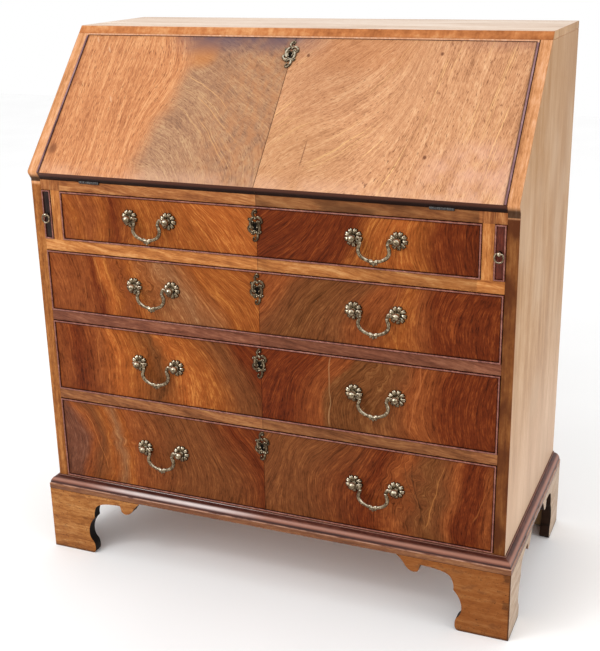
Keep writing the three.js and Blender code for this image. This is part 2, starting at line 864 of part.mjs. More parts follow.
function pigeonholeGallery() {
  const across = (floor, thickness) =>
    block(-galleryHalf, galleryHalf, galleryFront, innerBackY, floor, floor + thickness);
  const uprightBoard = (x, floor, top) =>
    block(x, x + galleryBoard, galleryFront, innerBackY, floor, top);
  const uprights = pigeonholeUprights();
  const lower = Array.from({ length: smallDrawerCount + 1 }, (_, i) =>
    uprightBoard(-galleryHalf + i * smallDrawerPitch, 0, shelfFloor + galleryBoard));
  const sorted = [...uprights].sort((a, b) => a - b);
  const valances = sorted.slice(0, -1).map((x, i) => valance(x + seatGap, sorted[i + 1] + seatGap));
  return join(
    across(0, galleryBoard),
    across(shelfFloor, galleryBoard),
    across(galleryHeight - galleryBoard, galleryBoard),
    ...lower,
    ...uprights.map((x) => uprightBoard(x, shelfFloor, galleryHeight)),
    ...valances);
}

function smallDrawer() {
  const half = (smallDrawerPitch - galleryBoard) / 2 - smallDrawerGap;
  const top = smallDrawerHeight - smallDrawerGap;
  const inner = half - smallDrawerWall;
  const body = join(
    block(-half, half, 0, smallDrawerFront, seatGap, top),
    block(-half, half, 0, smallDrawerLength, seatGap, top - smallDrawerWallDrop));
  const room = block(
    -inner, inner,
    smallDrawerFront, smallDrawerLength - smallDrawerWall,
    seatGap + smallDrawerFloor, smallDrawerHeight);
  const knob = solid(turned([
    [0, -overrun],
    [smallKnobNeckRadius, -overrun],
    ...ballProfile(smallKnobRadius, smallKnobReach - smallKnobRadius, smallKnobNeckRadius),
  ])).rotate([90, 0, 0]).translate([0, 0, smallDrawerHeight / 2]);
  return join(cut(body, room), knob);
}

// Assembly

const bureau = new THREE.Group();

place(bureau, "side_right", "sideWood", sidePanel());
place(bureau, "side_left", "sideWood", sidePanel()).scale.x = -1;
place(bureau, "top_board", "topWood", topBoard());
place(bureau, "back_panel", "backWood", backPanel());
place(bureau, "bottom_board", "railWood", bottomBoard());
place(bureau, "writing_board", "railWood", writingBoard());
railHeights.forEach((height, i) => {
  const name = i ? "drawer_rail_" + (i + 1) : "loper_frame";
  const shape = i ? dustRail(height) : loperFrame();
  place(bureau, name, "railWood", shape, 0, 0, openingFloors[i] - height);
});
place(bureau, "plinth_moulding", "plinthWood", plinthMoulding(), 0, 0, footHeight);

for (const [label, hand] of [["left", -1], ["right", 1]]) {
  const footX = hand * (outerHalf + mouldingProud);
  const footY = frontY - mouldingProud;
  const front = place(bureau, "foot_front_" + label, "footWood", frontFoot(), footX, footY);
  const back = place(bureau, "foot_back_" + label, "footWood", backFoot(), footX, backY);
  front.scale.x = -hand;
  back.scale.set(-hand, -1, 1);
  place(bureau, "hinge_" + label, "brass", fixedLeaf(), hand * hingeCentre, hingeY, writingTop);
  addLoper(bureau, hand, label);
}

const fall = group(bureau, 0, hingeY, writingTop);
fall.rotation.x = slopeAngle;
place(fall, "fall_board", "fallWood", fallBoard());
place(fall, "fall_lock", "brass", lock(fallThickness), 0, fallLength - fallKeyDrop, fallThickness);
place(fall, "fall_hinge_leaf_left", "brass", movingLeaf(), -hingeCentre);
place(fall, "fall_hinge_leaf_right", "brass", movingLeaf(), hingeCentre);

openingHeights.forEach((height, i) => {
  const half = i ? innerHalf : upperOpeningHalf;
  addDrawer(bureau, i + 1, half, openingFloors[i], height, traySideDrops[i]);
});

const gallery = group(bureau, 0, 0, writingTop);
place(gallery, "pigeonhole_gallery", "interiorWood", pigeonholeGallery());
for (let i = 0; i < smallDrawerCount; i++) {
  const name = "small_drawer_" + (i + 1);
  const centre = -galleryHalf + galleryBoard / 2 + (i + 1 / 2) * smallDrawerPitch;
  place(gallery, name, "interiorWood", smallDrawer(), centre, galleryFront, galleryBoard);
}

export default bureau;
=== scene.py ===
import json
import math

import bmesh
import bpy
from mathutils import Matrix, Vector


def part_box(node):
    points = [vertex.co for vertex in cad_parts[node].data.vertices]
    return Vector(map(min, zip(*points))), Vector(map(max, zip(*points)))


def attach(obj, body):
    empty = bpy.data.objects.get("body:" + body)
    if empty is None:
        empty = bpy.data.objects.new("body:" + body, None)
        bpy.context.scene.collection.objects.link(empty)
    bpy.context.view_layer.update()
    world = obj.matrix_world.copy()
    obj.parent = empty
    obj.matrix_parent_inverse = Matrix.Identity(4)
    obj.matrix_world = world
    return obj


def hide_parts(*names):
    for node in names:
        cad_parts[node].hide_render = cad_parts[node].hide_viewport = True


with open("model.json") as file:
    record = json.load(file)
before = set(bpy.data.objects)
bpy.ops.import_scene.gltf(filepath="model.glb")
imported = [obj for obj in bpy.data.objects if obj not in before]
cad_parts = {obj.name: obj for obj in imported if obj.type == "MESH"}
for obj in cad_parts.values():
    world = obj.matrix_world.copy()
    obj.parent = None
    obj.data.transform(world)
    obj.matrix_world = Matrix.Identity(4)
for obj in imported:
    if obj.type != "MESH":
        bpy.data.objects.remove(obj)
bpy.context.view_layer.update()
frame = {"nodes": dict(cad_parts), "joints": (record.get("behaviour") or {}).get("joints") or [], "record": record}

# What the frame says: each node's body, each joint's place, and the carcass's faces
MM = 0.001
record = frame["record"]
BODY_OF = {node: body for body, nodes in record["behaviour"]["bodies"].items() for node in nodes}
JOINT_AT = {joint["name"]: Vector(joint["pos_m"]) for joint in frame["joints"] if "pos_m" in joint}
side_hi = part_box("side_right")[1]
top_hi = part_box("top_board")[1]
moulding_lo, moulding_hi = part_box("plinth_moulding")
OUTER_HALF = side_hi.x
FRONT_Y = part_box("drawer_rail_2")[0].y
BACK_Y = side_hi.y

# Sizes that the frame doesn't give
SEAT_GAP = 0.3 * MM
SEAM_X = 2 * MM
SEAM_GAP = 0.15 * MM
BEAD_WIDTH = 3 * MM
BEAD_PROUD = 2.5 * MM
BEAD_GAP = 0.6 * MM
LOPER_BEAD_GAP = 0.15 * MM
FRONT_THICKNESS = 20 * MM
FACE_THICKNESS = 6 * MM
FACE_STEP = 3 * MM
TRAY_INSET = 1 * MM
TRAY_WALL = 9 * MM
TRAY_TONGUE = 2 * MM
TRAY_SIDE_DROPS = {1: 5 * MM, 2: 9 * MM, 3: 5 * MM, 4: 5 * MM}
TRAY_BACK_DROP = 15 * MM
TRAY_BOTTOM_LIFT = 6 * MM
TRAY_BOTTOM = 7 * MM
BACK_BOARD_SHARES = (0, 0.19, 0.37, 0.58, 0.79, 1)
BRACKET_THICKNESS = 20 * MM
BACK_FOOT_SHARE = 0.587
GLUE_BLOCK = 26 * MM
GLUE_BLOCK_LIFT = 6 * MM
FASCIA_HEIGHT = 11.5 * MM
FASCIA_STEP = 1.5 * MM
FILLET_HEIGHT = 3 * MM
FILLET_PROUD = 2.5 * MM
FALL_BEAD_WIDTH = 4 * MM
FALL_BEVEL = 4.5 * MM
POST_SPACING = 80 * MM
BALL_REACH = 12.5 * MM
BALL_RADIUS = 7 * MM
BALL_POLE_SHARE = 0.05
ROSE_RADIUS = 17 * MM
BAIL_DROP = 40 * MM
SCUTCHEON_WIDTH = 31 * MM
SCUTCHEON_HEIGHT = 63 * MM
SCUTCHEON_KEY_SHARE = 0.52
KEYHOLE_RADIUS = 3.6 * MM
KEYHOLE_SLOT = 4.6 * MM
KEYHOLE_DROP = 9.5 * MM
LOPER_KNOB_REACH = 8 * MM
LOPER_KNOB_RADIUS = 4 * MM
RING_HALF = 7.4 * MM
RING_DROP = 15 * MM
RING_BAR = 1.5 * MM
GALLERY_BOARD = 6 * MM
NICHE_WIDTH = 230 * MM
VALANCE_DROP = 26 * MM
VALANCE_THICKNESS = 5 * MM
VALANCE_SETBACK = 0.6 * MM
VALANCE_MIDDLE_SHARE = 0.3
VALANCE_HOLLOW = 1.6
SMALL_DRAWER_HEIGHT = 60 * MM
SMALL_FRONT = 10 * MM
SMALL_WALL = 6 * MM
SMALL_TRAY_DROP = 8 * MM
SMALL_SIDE_LAP = 0.2 * MM
SMALL_BOTTOM_LAP = 0.4 * MM
SMALL_BOTTOM_LEVELS = (1 * MM, 4 * MM)
SMALL_KNOB_LENGTH = 12 * MM

# How far each piece's edges are eased
EASED = {kind: size * MM for kind, size in {
    "side": 0.8, "top": 1.0, "rail": 0.4, "back": 0.8, "foot": 0.7, "block": 1.5, "fall": 0.35, "hinge": 0.15,
    "front": 0.2, "tray": 0.8, "lock": 0.3, "loper": 0.3, "gallery": 0.5, "valance": 0.4, "small_front": 0.8,
    "small_tray": 0.4}.items()}


# Mesh code

def skin(bm, rings, closed=False):
    """Joins rings of points into one skin, capped at both ends unless it closes on itself."""
    loops = [[bm.verts.new(point) for point in ring] for ring in rings]
    count = len(loops[0])
    following = loops[1:] + loops[:1] if closed else loops[1:]
    for near, far in zip(loops, following):
        for i in range(count):
            j = (i + 1) % count
            bm.faces.new((near[i], near[j], far[j], far[i]))
    if not closed:
        bm.faces.new(loops[0][::-1])
        bm.faces.new(loops[-1])


def board(bm, lo, hi):
    (x0, y0, z0), (x1, y1, z1) = lo, hi
    skin(bm, [[(x0, y0, z), (x1, y0, z), (x1, y1, z), (x0, y1, z)] for z in (z0, z1)])


def in_mm(rows):
    return [tuple(value * MM for value in row) for row in rows]


def angles(turn, steps):
    """Equal steps through a turn, with both its ends."""
    return [turn * i / steps for i in range(steps + 1)]


def turned(bm, profile, sides=24, centre=(0, 0)):
    """A turned form about an axis parallel to Z, from (radius, height) points."""
    skin(bm, [[(centre[0] + radius * math.cos(a), centre[1] + radius * math.sin(a), height)
               for a in angles(2 * math.pi, sides)[:-1]] for radius, height in profile])


def ball(bm, centre, radius, rings=10, sides=20):
    """A ball about a centre, from its low pole to its high one."""
    x, y, z = centre
    pole = radius * BALL_POLE_SHARE
    profile = [(radius * math.sin(a), z - radius * math.cos(a)) for a in angles(math.pi, rings)[1:-1]]
    turned(bm, [(pole, z - radius), *profile, (pole, z + radius)], sides, (x, y))


def smooth_path(points, steps):
    """Points on a smooth curve through the given points, of any number of values each."""
    places = [Vector(p) for p in points]
    ends = [2 * places[0] - places[1], *places, 2 * places[-1] - places[-2]]
    path = []
    for a, b, c, d in zip(ends, ends[1:], ends[2:], ends[3:]):
        for i in range(steps):
            t = i / steps
            path.append(0.5 * (2 * b + (c - a) * t + (2 * a - 5 * b + 4 * c - d) * t ** 2
                               + (3 * b - a - 3 * c + d) * t ** 3))
    return path + [places[-1]]


def mirrored(arm):
    """A path from its first point to the middle, and back on the other side."""
    return arm + [(-x, *rest) for x, *rest in reversed(arm[:-1])]


def tube(bm, path, sides=10, flat=1.0):
    """A bar along points (x, y, z, radius), flattened in its own Z by a share."""
    spots = [Vector(p[:3]) for p in path]
    up = Vector((0, 0, 1))
    rings = []
    for i, spot in enumerate(spots):
        ahead = spots[min(i + 1, len(spots) - 1)] - spots[max(i - 1, 0)]
        across = ahead.cross(up)
        across = across.normalized() if across.length > 1e-9 else Vector((1, 0, 0))
        raised = across.cross(ahead).normalized()
        radius = path[i][3]
        rings.append([spot + radius * (math.cos(a) * across + flat * math.sin(a) * raised)
                      for a in angles(2 * math.pi, sides)[:-1]])
    skin(bm, rings)


def piece(name, bm, material, node, place=None, bevel=0.0, stands_for=True):
    """Ends a mesh as an object that rides with a CAD node's body and may stand for the node."""
    if place is not None:
        bm.transform(place)
    bmesh.ops.remove_doubles(bm, verts=bm.verts, dist=0.001 * MM)
    bmesh.ops.recalc_face_normals(bm, faces=bm.faces)
    if bevel:
        sharp = [e for e in bm.edges if e.is_manifold and e.calc_face_angle() > math.radians(30)]
        bmesh.ops.bevel(bm, geom=sharp, offset=bevel, segments=2, profile=0.5, affect="EDGES", clamp_overlap=True)
    mesh = bpy.data.meshes.new(name)
    bm.to_mesh(mesh)
    bm.free()
    mesh.polygons.foreach_set("use_smooth", [True] * len(mesh.polygons))
    mesh.set_sharp_from_angle(angle=math.radians(38))
    mesh.materials.append(material)
    made = bpy.data.objects.new(name, mesh)
    bpy.context.scene.collection.objects.link(made)
    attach(made, BODY_OF[node])
    if stands_for:
        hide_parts(node)


def boards(name, boxes, material, node, place=None, bevel=0.0):
    """Boards as one piece, each from its low corner to its high one; those that meet lap into each other."""
    bm = bmesh.new()
    for lo, hi in boxes:
        board(bm, lo, hi)
    piece(name, bm, material, node, place, bevel)


def dressed(node, material, bevel, suffix="_wood"):
    """A copy of a CAD solid with eased edges, which stands for it."""
    bm = bmesh.new()
    bm.from_mesh(frame["nodes"][node].data)
    bmesh.ops.remove_doubles(bm, verts=bm.verts, dist=0.01 * MM)
    bmesh.ops.dissolve_limit(bm, angle_limit=math.radians(1), verts=bm.verts, edges=bm.edges)
    piece(node + suffix, bm, material, node, bevel=bevel)


# Node graphs for materials

def math_method(operation):
    """A method of Wire that adds one math node."""
    return lambda wire, *others: wire.net.math(operation, wire, *others)


class Wire:
    """An output in a node tree, with sums and products written as plain Python."""

    __add__ = __radd__ = math_method("ADD")
    __sub__ = math_method("SUBTRACT")
    __mul__ = __rmul__ = math_method("MULTIPLY")
    __truediv__ = math_method("DIVIDE")
    __abs__ = math_method("ABSOLUTE")
    sign = math_method("SIGN")
    least = math_method("MINIMUM")
    most = math_method("MAXIMUM")

    def __init__(self, net, socket):
        self.net = net
        self.socket = socket

    def __rsub__(self, other):
        return self.net.math("SUBTRACT", other, self)

    def rise(self, low, high, first=0.0, last=1.0):
        """A smooth change from first to last as the value goes from low to high."""
        node = self.net.add("MapRange", {
            "Value": self, "From Min": low, "From Max": high, "To Min": first, "To Max": last},
            interpolation_type="SMOOTHSTEP")
        return Wire(self.net, node.outputs["Result"])

    def near(self, reach, core=0.2):
        """1 where the value is within a core about 0, falling to 0 at its reach."""
        return abs(self).rise(reach, core)

    def under(self, *coats):
        """This colour with further colours over it, each given after its share."""
        colour = self
        for share, code in coats:
            colour = self.net.mix(share, colour, code)
        return colour


class Net:
    """A material under construction."""

    def __init__(self, name, **settings):
        self.material = bpy.data.materials.new(name)
        self.material.use_nodes = True
        self.tree = self.material.node_tree
        self.shader = self.tree.nodes["Principled BSDF"]
        for socket, value in settings.items():
            self.shader.inputs[socket.replace("_", " ")].default_value = value

    def feed(self, socket, value):
        if isinstance(value, Wire):
            self.tree.links.new(value.socket, socket)
        else:
            socket.default_value = rgb(value) if isinstance(value, str) else value

    def add(self, kind, values, **settings):
        node = self.tree.nodes.new("ShaderNode" + kind)
        for key, value in settings.items():
            setattr(node, key, value)
        for key, value in values.items():
            self.feed(node.inputs[key], value)
        return node

    def math(self, operation, *values):
        node = self.add("Math", dict(enumerate(values)), operation=operation)
        return Wire(self, node.outputs[0])

    def split(self, vector):
        """The x, y and z of a vector."""
        node = self.add("SeparateXYZ", {"Vector": Wire(self, vector)})
        return [Wire(self, output) for output in node.outputs]

    def place(self):
        """The point's x, y and z in millimetres, in the piece's own frame."""
        spot = Wire(self, self.add("TexCoord", {}).outputs["Object"])
        scaled = self.add("VectorMath", {"Vector": spot, "Scale": 1 / MM}, operation="SCALE")
        return self.split(scaled.outputs[0])

    def facing(self):
        """The surface's direction along x, y and z, in the piece's own frame."""
        return self.split(self.add("TexCoord", {}).outputs["Normal"])

    def noise(self, across, along, depth, detail, roughness=0.5):
        """Noise over three coordinates, each already divided by the length of a feature."""
        vector = self.add("CombineXYZ", {"X": across, "Y": along, "Z": depth})
        node = self.add("TexNoise", {
            "Vector": Wire(self, vector.outputs[0]), "Scale": 1.0, "Detail": detail, "Roughness": roughness})
        return Wire(self, node.outputs["Fac"])

    def ramp(self, value, stops):
        node = self.add("ValToRGB", {"Fac": value})
        elements = node.color_ramp.elements
        while len(elements) < len(stops):
            elements.new(0.5)
        for element, (position, colour) in zip(elements, stops):
            element.position = position
            element.color = rgb(colour)
        return Wire(self, node.outputs["Color"])

    def mix(self, share, first, second):
        """From the first colour to the second, each a wire or six hexadecimal digits."""
        node = self.add("Mix", {}, data_type="RGBA")
        for identifier, value in (("Factor_Float", share), ("A_Color", first), ("B_Color", second)):
            self.feed(next(s for s in node.inputs if s.identifier == identifier), value)
        return Wire(self, next(s for s in node.outputs if s.identifier == "Result_Color"))

    def spot(self, a, b, centre, reach):
        """1 at a centre on two coordinates, falling to 0 at its reach along each."""
        first = (a - centre[0]) / reach[0]
        second = (b - centre[1]) / reach[1]
        return (first * first + second * second).rise(0.0, 1.0, 1.0, 0.0)

    def ease(self, value, width):
        """0 below zero and the value itself above it, with a bend of the given width."""
        return 0.5 * (value + self.math("SQRT", value * value + width * width))

    def finish(self, colour, roughness=None, height=None, depth=0.1):
        """Joins colour, roughness and bumps, of a depth in millimetres, to the shader."""
        self.feed(self.shader.inputs["Base Color"], colour)
        if roughness is not None:
            self.feed(self.shader.inputs["Roughness"], roughness)
            bump = self.add("Bump", {"Height": height, "Strength": 1.0, "Distance": depth * MM})
            self.tree.links.new(bump.outputs["Normal"], self.shader.inputs["Normal"])
        return self.material


def rgb(code):
    """A colour written as six hexadecimal digits, in linear light."""
    parts = [int(code[i:i + 2], 16) / 255 for i in (0, 2, 4)]
    return (*[c / 12.92 if c <= 0.04045 else ((c + 0.055) / 1.055) ** 2.4 for c in parts], 1.0)


def slope_frame():
    """The fall's own frame at its hinge: X across, Y up the slope, Z out of its face."""
    spots = [v.co for v in frame["nodes"]["top_board"].data.vertices]
    upper_y = min(p.y for p in spots if p.z > top_hi.z - 0.1 * MM)
    lower = min(spots, key=lambda p: p.y)
    angle = math.atan2(top_hi.z - lower.z, upper_y - lower.y)
    return Matrix.Translation(JOINT_AT["fall_hinge"]) @ Matrix.Rotation(angle, 4, "X")


SLOPE = slope_frame()


def slope_box(node):
    """A node's lowest and highest corners in the fall's own frame."""
    inverse = SLOPE.inverted()
    spots = [inverse @ v.co for v in frame["nodes"][node].data.vertices]
    return Vector(map(min, *spots)), Vector(map(max, *spots))


fall_lo, fall_hi = slope_box("fall_board")
FALL_FACE = fall_hi.z - BEAD_PROUD


# Woods; in the graphs lengths are in millimetres, and tones run from dark to light

VENEERS = {
    "dark red": "3c170a 622811 8a441e",
    "red": "54260f 80411f a25c2e",
    "brown": "4c2812 6e3d20 8e562e",
    "olive": "482710 6a3c1e 8c5a32",
    "flame": "663312 8e4a1f ba7436",
    "orange": "743a17 a05424 cc8240",
    "tan": "5e3820 845434 aa7c54",
    "purple": "482a1e 683c2a 885a44",
}

# Where each colour lies across a drawer's front, as shares from its left end; the seam breaks them
DRAWER_ZONES = {
    1: {0.02: "red", 0.05: "flame", 0.08: "red", 0.11: "flame", 0.135: "dark red", 0.2: "flame", 0.26: "flame",
        0.32: "flame", 0.4: "orange", 0.47: "orange", 0.5: "orange", 0.503: "dark red", 0.72: "dark red",
        0.775: "flame", 0.82: "orange", 0.865: "flame", 0.9: "dark red", 1: "dark red"},
    2: {0: "red", 0.06: "red", 0.1: "red", 0.125: "dark red", 0.15: "orange", 0.17: "flame", 0.19: "red",
        0.23: "flame", 0.33: "tan", 0.39: "flame", 0.45: "flame", 0.5: "flame", 0.503: "red", 0.55: "brown",
        0.62: "olive", 0.7: "brown", 0.73: "red", 0.775: "red", 0.81: "flame", 0.85: "red", 0.88: "dark red",
        1: "dark red"},
    3: {0: "red", 0.03: "red", 0.07: "dark red", 0.13: "red", 0.165: "orange", 0.2: "flame", 0.27: "olive",
        0.31: "orange", 0.36: "flame", 0.42: "brown", 0.46: "brown", 0.5: "dark red", 0.503: "dark red",
        0.58: "dark red", 0.655: "red", 0.665: "olive", 0.75: "olive", 0.79: "brown", 0.82: "red", 0.85: "red",
        0.88: "dark red", 1: "dark red"},
    4: {0: "purple", 0.05: "purple", 0.07: "red", 0.09: "brown", 0.12: "flame", 0.15: "tan", 0.175: "flame",
        0.2: "red", 0.28: "brown", 0.4: "brown", 0.5: "dark red", 0.503: "brown", 0.6: "brown",
        0.75: "dark red", 0.79: "red", 0.82: "brown", 0.84: "olive", 0.87: "brown", 0.9: "red",
        0.915: "dark red", 0.955: "dark red", 0.975: "red", 1: "dark red"},
}
# How far the figure leans, near the seam and far from it
DRAWER_LEANS = {1: (1.15, 0.1), 2: (0.95, 0.15), 3: (0.6, 0.08), 4: (0.45, 0.12)}
# Places across and up of curly patches, with their reach
DRAWER_CURLS = {
    1: (), 2: ((-241, 611, 90),), 3: ((-200, 470, 60), (241, 476, 60)), 4: ((-308, 265, 60), (298, 262, 80))}
# Thin lines in the veneer, each from its top to its foot, with its colour and strength
DRAWER_LINES = {
    1: ((-108, 741, -68, 660, "b87438", 0.5), (256, 748, 230, 669, "b87438", 0.5)),
    2: ((-345, 640, -322, 560, "b4743a", 0.4), (268, 640, 240, 545, "b06a34", 0.5)),
    3: ((139, 500, 139, 360, "b88c60", 0.4), (-340, 500, -352, 375, "a86432", 0.4),
        (306, 500, 286, 370, "b0683a", 0.5)),
    4: ((-383, 312, -342, 191, "b46c38", 0.6), (352, 318, 316, 188, "b4763e", 0.5),
        (426, 285, 404, 215, "9c5a2c", 0.5), (290, 318, 312, 196, "2a1a12", 0.5),
        (276, 310, 300, 230, "2e1c12", 0.4)),
}

# How much ribbons, streaks, fibres and mottling count in a wood's tone
CALM = (0.28, 0.24, 0.26, 0.22)
STRIPED = (0.32, 0.34, 0.2, 0.14)
FINE = (0.18, 0.3, 0.34, 0.18)
FIGURED = (0.16, 0.28, 0.32, 0.24)


def grain(net, across, along, depth, band, streak, seed):
    """Broad ribbons, streaks, fine fibres and mottling that follow lines of equal across."""
    return [net.noise(across / width, along / length, depth / width + seed, detail, roughness)
            for width, length, detail, roughness in (
                (band, 260, 1, 0.5), (streak, 90, 2, 0.65), (1.2, 14, 2, 0.7), (9, 22, 3, 0.65))]


def blend(parts, weights):
    """The weighted sum of the parts of the grain."""
    first, *others = [weight * part for weight, part in zip(weights, parts)]
    return sum(others, first)


def shade(net, parts, tones, weights=CALM, reach=0.12):
    """A colour from dark to light after the parts of the grain."""
    stops = zip((0.5 - reach, 0.5, 0.5 + reach), tones.split())
    return net.ramp(blend(parts, weights), list(stops))


def wood(name, tones, pore_tone, along="X", gloss=0.4, coat=0.0, band=26, streak=4.0):
    """Straight-grained wood with pores."""
    net = Net(name, Coat_Weight=coat, Coat_Roughness=0.12, Specular_IOR_Level=0.12)
    x, y, z = net.place()
    line, first, second = {"X": (x, y, z), "Y": (y, x, z), "Z": (z, x, y)}[along]
    warp = net.noise(first / 90, line / 400, second / 90, 0)
    parts = grain(net, first + 14 * warp, line, second, band, streak, 0)
    pores = net.noise(first / 0.9, line / 9, second / 0.9, 1).rise(0.6, 0.7)
    colour = shade(net, parts, tones).under((pores * 0.4, pore_tone))
    return net.finish(colour, gloss + 0.2 * parts[2], parts[2] - 0.6 * pores, 0.08)


def slope_place(net):
    """The point's place across the fall, up its slope and out of its face."""
    x, y, z = net.place()
    hinge = SLOPE.translation / MM
    up, out = SLOPE.col[1], SLOPE.col[2]
    deep = y - hinge.y
    high = z - hinge.z
    return x, deep * up.y + high * up.z, deep * out.y + high * out.z


def side_wood():
    """Bleached on its outer face, orange on its slope, browner on its front edge with painted shade towards the
    right, and black at its nose with painted shade over its dark finish.
    """
    net = Net("faded_side_wood", Specular_IOR_Level=0.1)
    x, y, z = net.place()
    warp = net.noise(y / 90, z / 500, x / 90, 0)
    parts = grain(net, y + 10 * warp, z, x, 30, 3.2, 4.0)
    dusty = net.noise(x / 160, y / 160, z / 220, 2).rise(0.42, 0.66)
    pale = shade(net, parts, "9a7250 b8926e d0b090", STRIPED, 0.13).under(
        (z.rise(250, 1000) * 0.6, "a07850"), (z.rise(560, 200) * 0.5, "dcbfa8"), (dusty * 0.35, "c6ac92"))
    edge = grain(net, x, z * 1.3, 0.0, 9, 3.0, 6.0)
    slope = shade(net, edge, "9e663c cc8e5e e6b28c")
    # The front edge darkens towards the right with painted shade, made patchy by a noise.
    wear_and_light = net.noise(x / 30, y / 30, z / 70, 3).rise(0.4, 0.62)
    front = shade(net, edge, "663616 945828 bc7e44").under((x.rise(-100, 100) * (0.6 + 0.4 * wear_and_light), "54290f"))
    # The nose is nearly black: painted shade under the slope's lower end, over its own dark finish.
    nose = (z + x.rise(100, -100) * -4).rise(771, 773) * slope_place(net)[1].rise(4, 1)
    outward = net.facing()[0] * x.sign()
    outer = outward.rise(0.55, 0.85)
    arris = abs(x).rise(OUTER_HALF / MM - 1.4, OUTER_HALF / MM) * (1 - outer)
    colour = net.mix(z.rise(774, 768), slope, front).under(
        (nose * 0.9, "1a0d08"), (outward.rise(-0.55, -0.85) * 0.6, "8a5630"), (arris * 0.6, "6a4026"),
        (outer.most(net.facing()[1].rise(0.6, 0.9)), pale))
    return net.finish(colour, 0.5 + 0.15 * parts[2], parts[2], 0.06)


def top_wood():
    """Bleached on top, with fine cracks, and orange along its front edge."""
    net = Net("faded_top_wood", Specular_IOR_Level=0.1)
    x, y, z = net.place()
    warp = net.noise(x / 400, y / 80, 1.0, 0)
    parts = grain(net, y + 12 * warp, x, z, 24, 3.4, 8.0)
    crack_path = y - 12 * net.noise(x / 120, 2.0, 3.0, 3) - 8
    crack = crack_path.near(0.9) * x.rise(40, 90) * x.rise(330, 260)
    pale = shade(net, parts, "c2a68e dcc4b0 ecdccc", STRIPED, 0.14).under((crack * 0.7, "5c3c24"))
    orange = shade(net, grain(net, z - y, x, 0.0, 8, 2.6, 12.0), "8e5028 ba7442 d89e6a")
    faded = shade(net, grain(net, y, z, x, 30, 3.2, 4.0), "8e6848 ac8660 c29e7a", STRIPED, 0.13)
    nx, ny, nz = map(abs, net.facing())
    colour = net.mix(nz.rise(0.75, 0.9), orange, pale).under((nx.rise(0.55, 0.85), faded))
    return net.finish(colour, 0.5 + 0.15 * parts[2], parts[2] - crack, 0.06)


def drawer_wood(number):
    """Crotch veneer in two leaves, whose lines lean towards the seam, with painted shade and grime just inside its
    bead.
    """
    lo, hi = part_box(f"drawer_{number}")
    half = hi.x / MM
    half_height = (hi.z - lo.z) / 2 / MM
    bead = BEAD_WIDTH / MM
    seam = SEAM_X / MM
    net = Net(f"drawer_{number}_veneer", Specular_IOR_Level=0.03)
    x, y, z = net.place()
    side = (x - seam).sign()
    out = abs(x - seam)
    up = z - (lo.z + hi.z) / 2 / MM
    wander = net.noise(x / 130, z / 170, side * 3.0 + 7.0 * number, 0) - 0.5
    curl = net.noise(x / 40, z / 60, side * 5.0 + 3.0 * number, 1) - 0.5
    lean = out.rise(0, half * 0.8, *DRAWER_LEANS[number])
    across = out - up * lean - 0.003 * up * up + 60 * wander + 8 * curl
    for curl_x, curl_z, reach in DRAWER_CURLS[number]:
        patch = net.spot(x, z, (curl_x, curl_z), (reach, reach))
        across = across + patch * 46 * (net.noise(x / 24, z / 30, 3.0 * number, 2) - 0.5)
    parts = grain(net, across, z, side * 40.0 + y, 20, 3.2, 11.0 * number)
    tone = blend(parts, FIGURED)
    drift = across + 46 * (net.noise(x / 70, z / 90, 5.0 * number + side, 2) - 0.5)
    position = 0.5 + seam / (2 * half) + side * drift.most(1.5) / (2 * half)
    dark, mid, light = [
        net.ramp(position, [(share, VENEERS[zone].split()[level]) for share, zone in DRAWER_ZONES[number].items()])
        for level in range(3)]
    feather = net.noise(across / 2.0, z / 90, 8.0 * number + side, 1).rise(0.62, 0.72)
    pores = net.noise(across / 1.1, z / 10, y + 3.0 * number, 1).rise(0.6, 0.7)
    edge = (half - abs(x)).least(half_height - abs(up))
    # Its last coat, a dark band just inside the bead, is painted shade beside the bead, and grime.
    colour = net.mix(tone.rise(0.38, 0.5), dark, mid).under(
        (tone.rise(0.5, 0.63), light), (feather * 0.45, light), (pores * 0.55, dark),
        (edge.rise(bead + 2.6, bead) * 0.75, "1a0805"))
    for x1, z1, x2, z2, line_tone, share in DRAWER_LINES[number]:
        away = x + 30 * curl - x1 - (z - z1) * ((x2 - x1) / (z2 - z1))
        stretch = z.rise(z1 + 4, z1 - 10) * z.rise(z2 - 4, z2 + 10)
        colour = colour.under((away.near(1.5) * stretch * share, line_tone))
    colour = colour.under((out.rise(0.9, 0.2) * 0.6, "2a120a"))
    return net.finish(colour, 0.28 + 0.2 * parts[2], parts[2] - 0.7 * pores, 0.05)


# Knots and nicks by their place across and up the fall, and golden arcs by their radius and their ends
FALL_KNOTS = (
    ((-428, 58), 12, 0.6), ((35, 280), 4, 0.8), ((293, 83), 4, 0.8), ((281, 289), 4, 0.8), ((-60, 255), 4, 0.4))
FALL_NICKS = ((-381, 284), (-340, 172), (-414, 306))
FALL_ARCS = ((315, -205, -80), (285, -195, -45), (256, -150, -60))


def fall_leaf(net, across, along, tones, band, streak, seed, lines):
    """One figure of the fall, from lines of equal across, with a share of thin golden lines."""
    gather = net.noise(across / 30, along / 200, seed + 9, 1).rise(0.46, 0.6)
    gold = net.noise(across / 2.2, along / 420, seed + 5, 1).rise(0.62, 0.7)
    pores = net.noise(across / 1.5, along / 13, seed, 1).rise(0.6, 0.7)
    parts = grain(net, across, along, 0.0, band, streak, seed)
    return shade(net, parts, tones, FINE).under((gold * gather * lines, "ecbc80"), (pores * 0.7, "643820"))


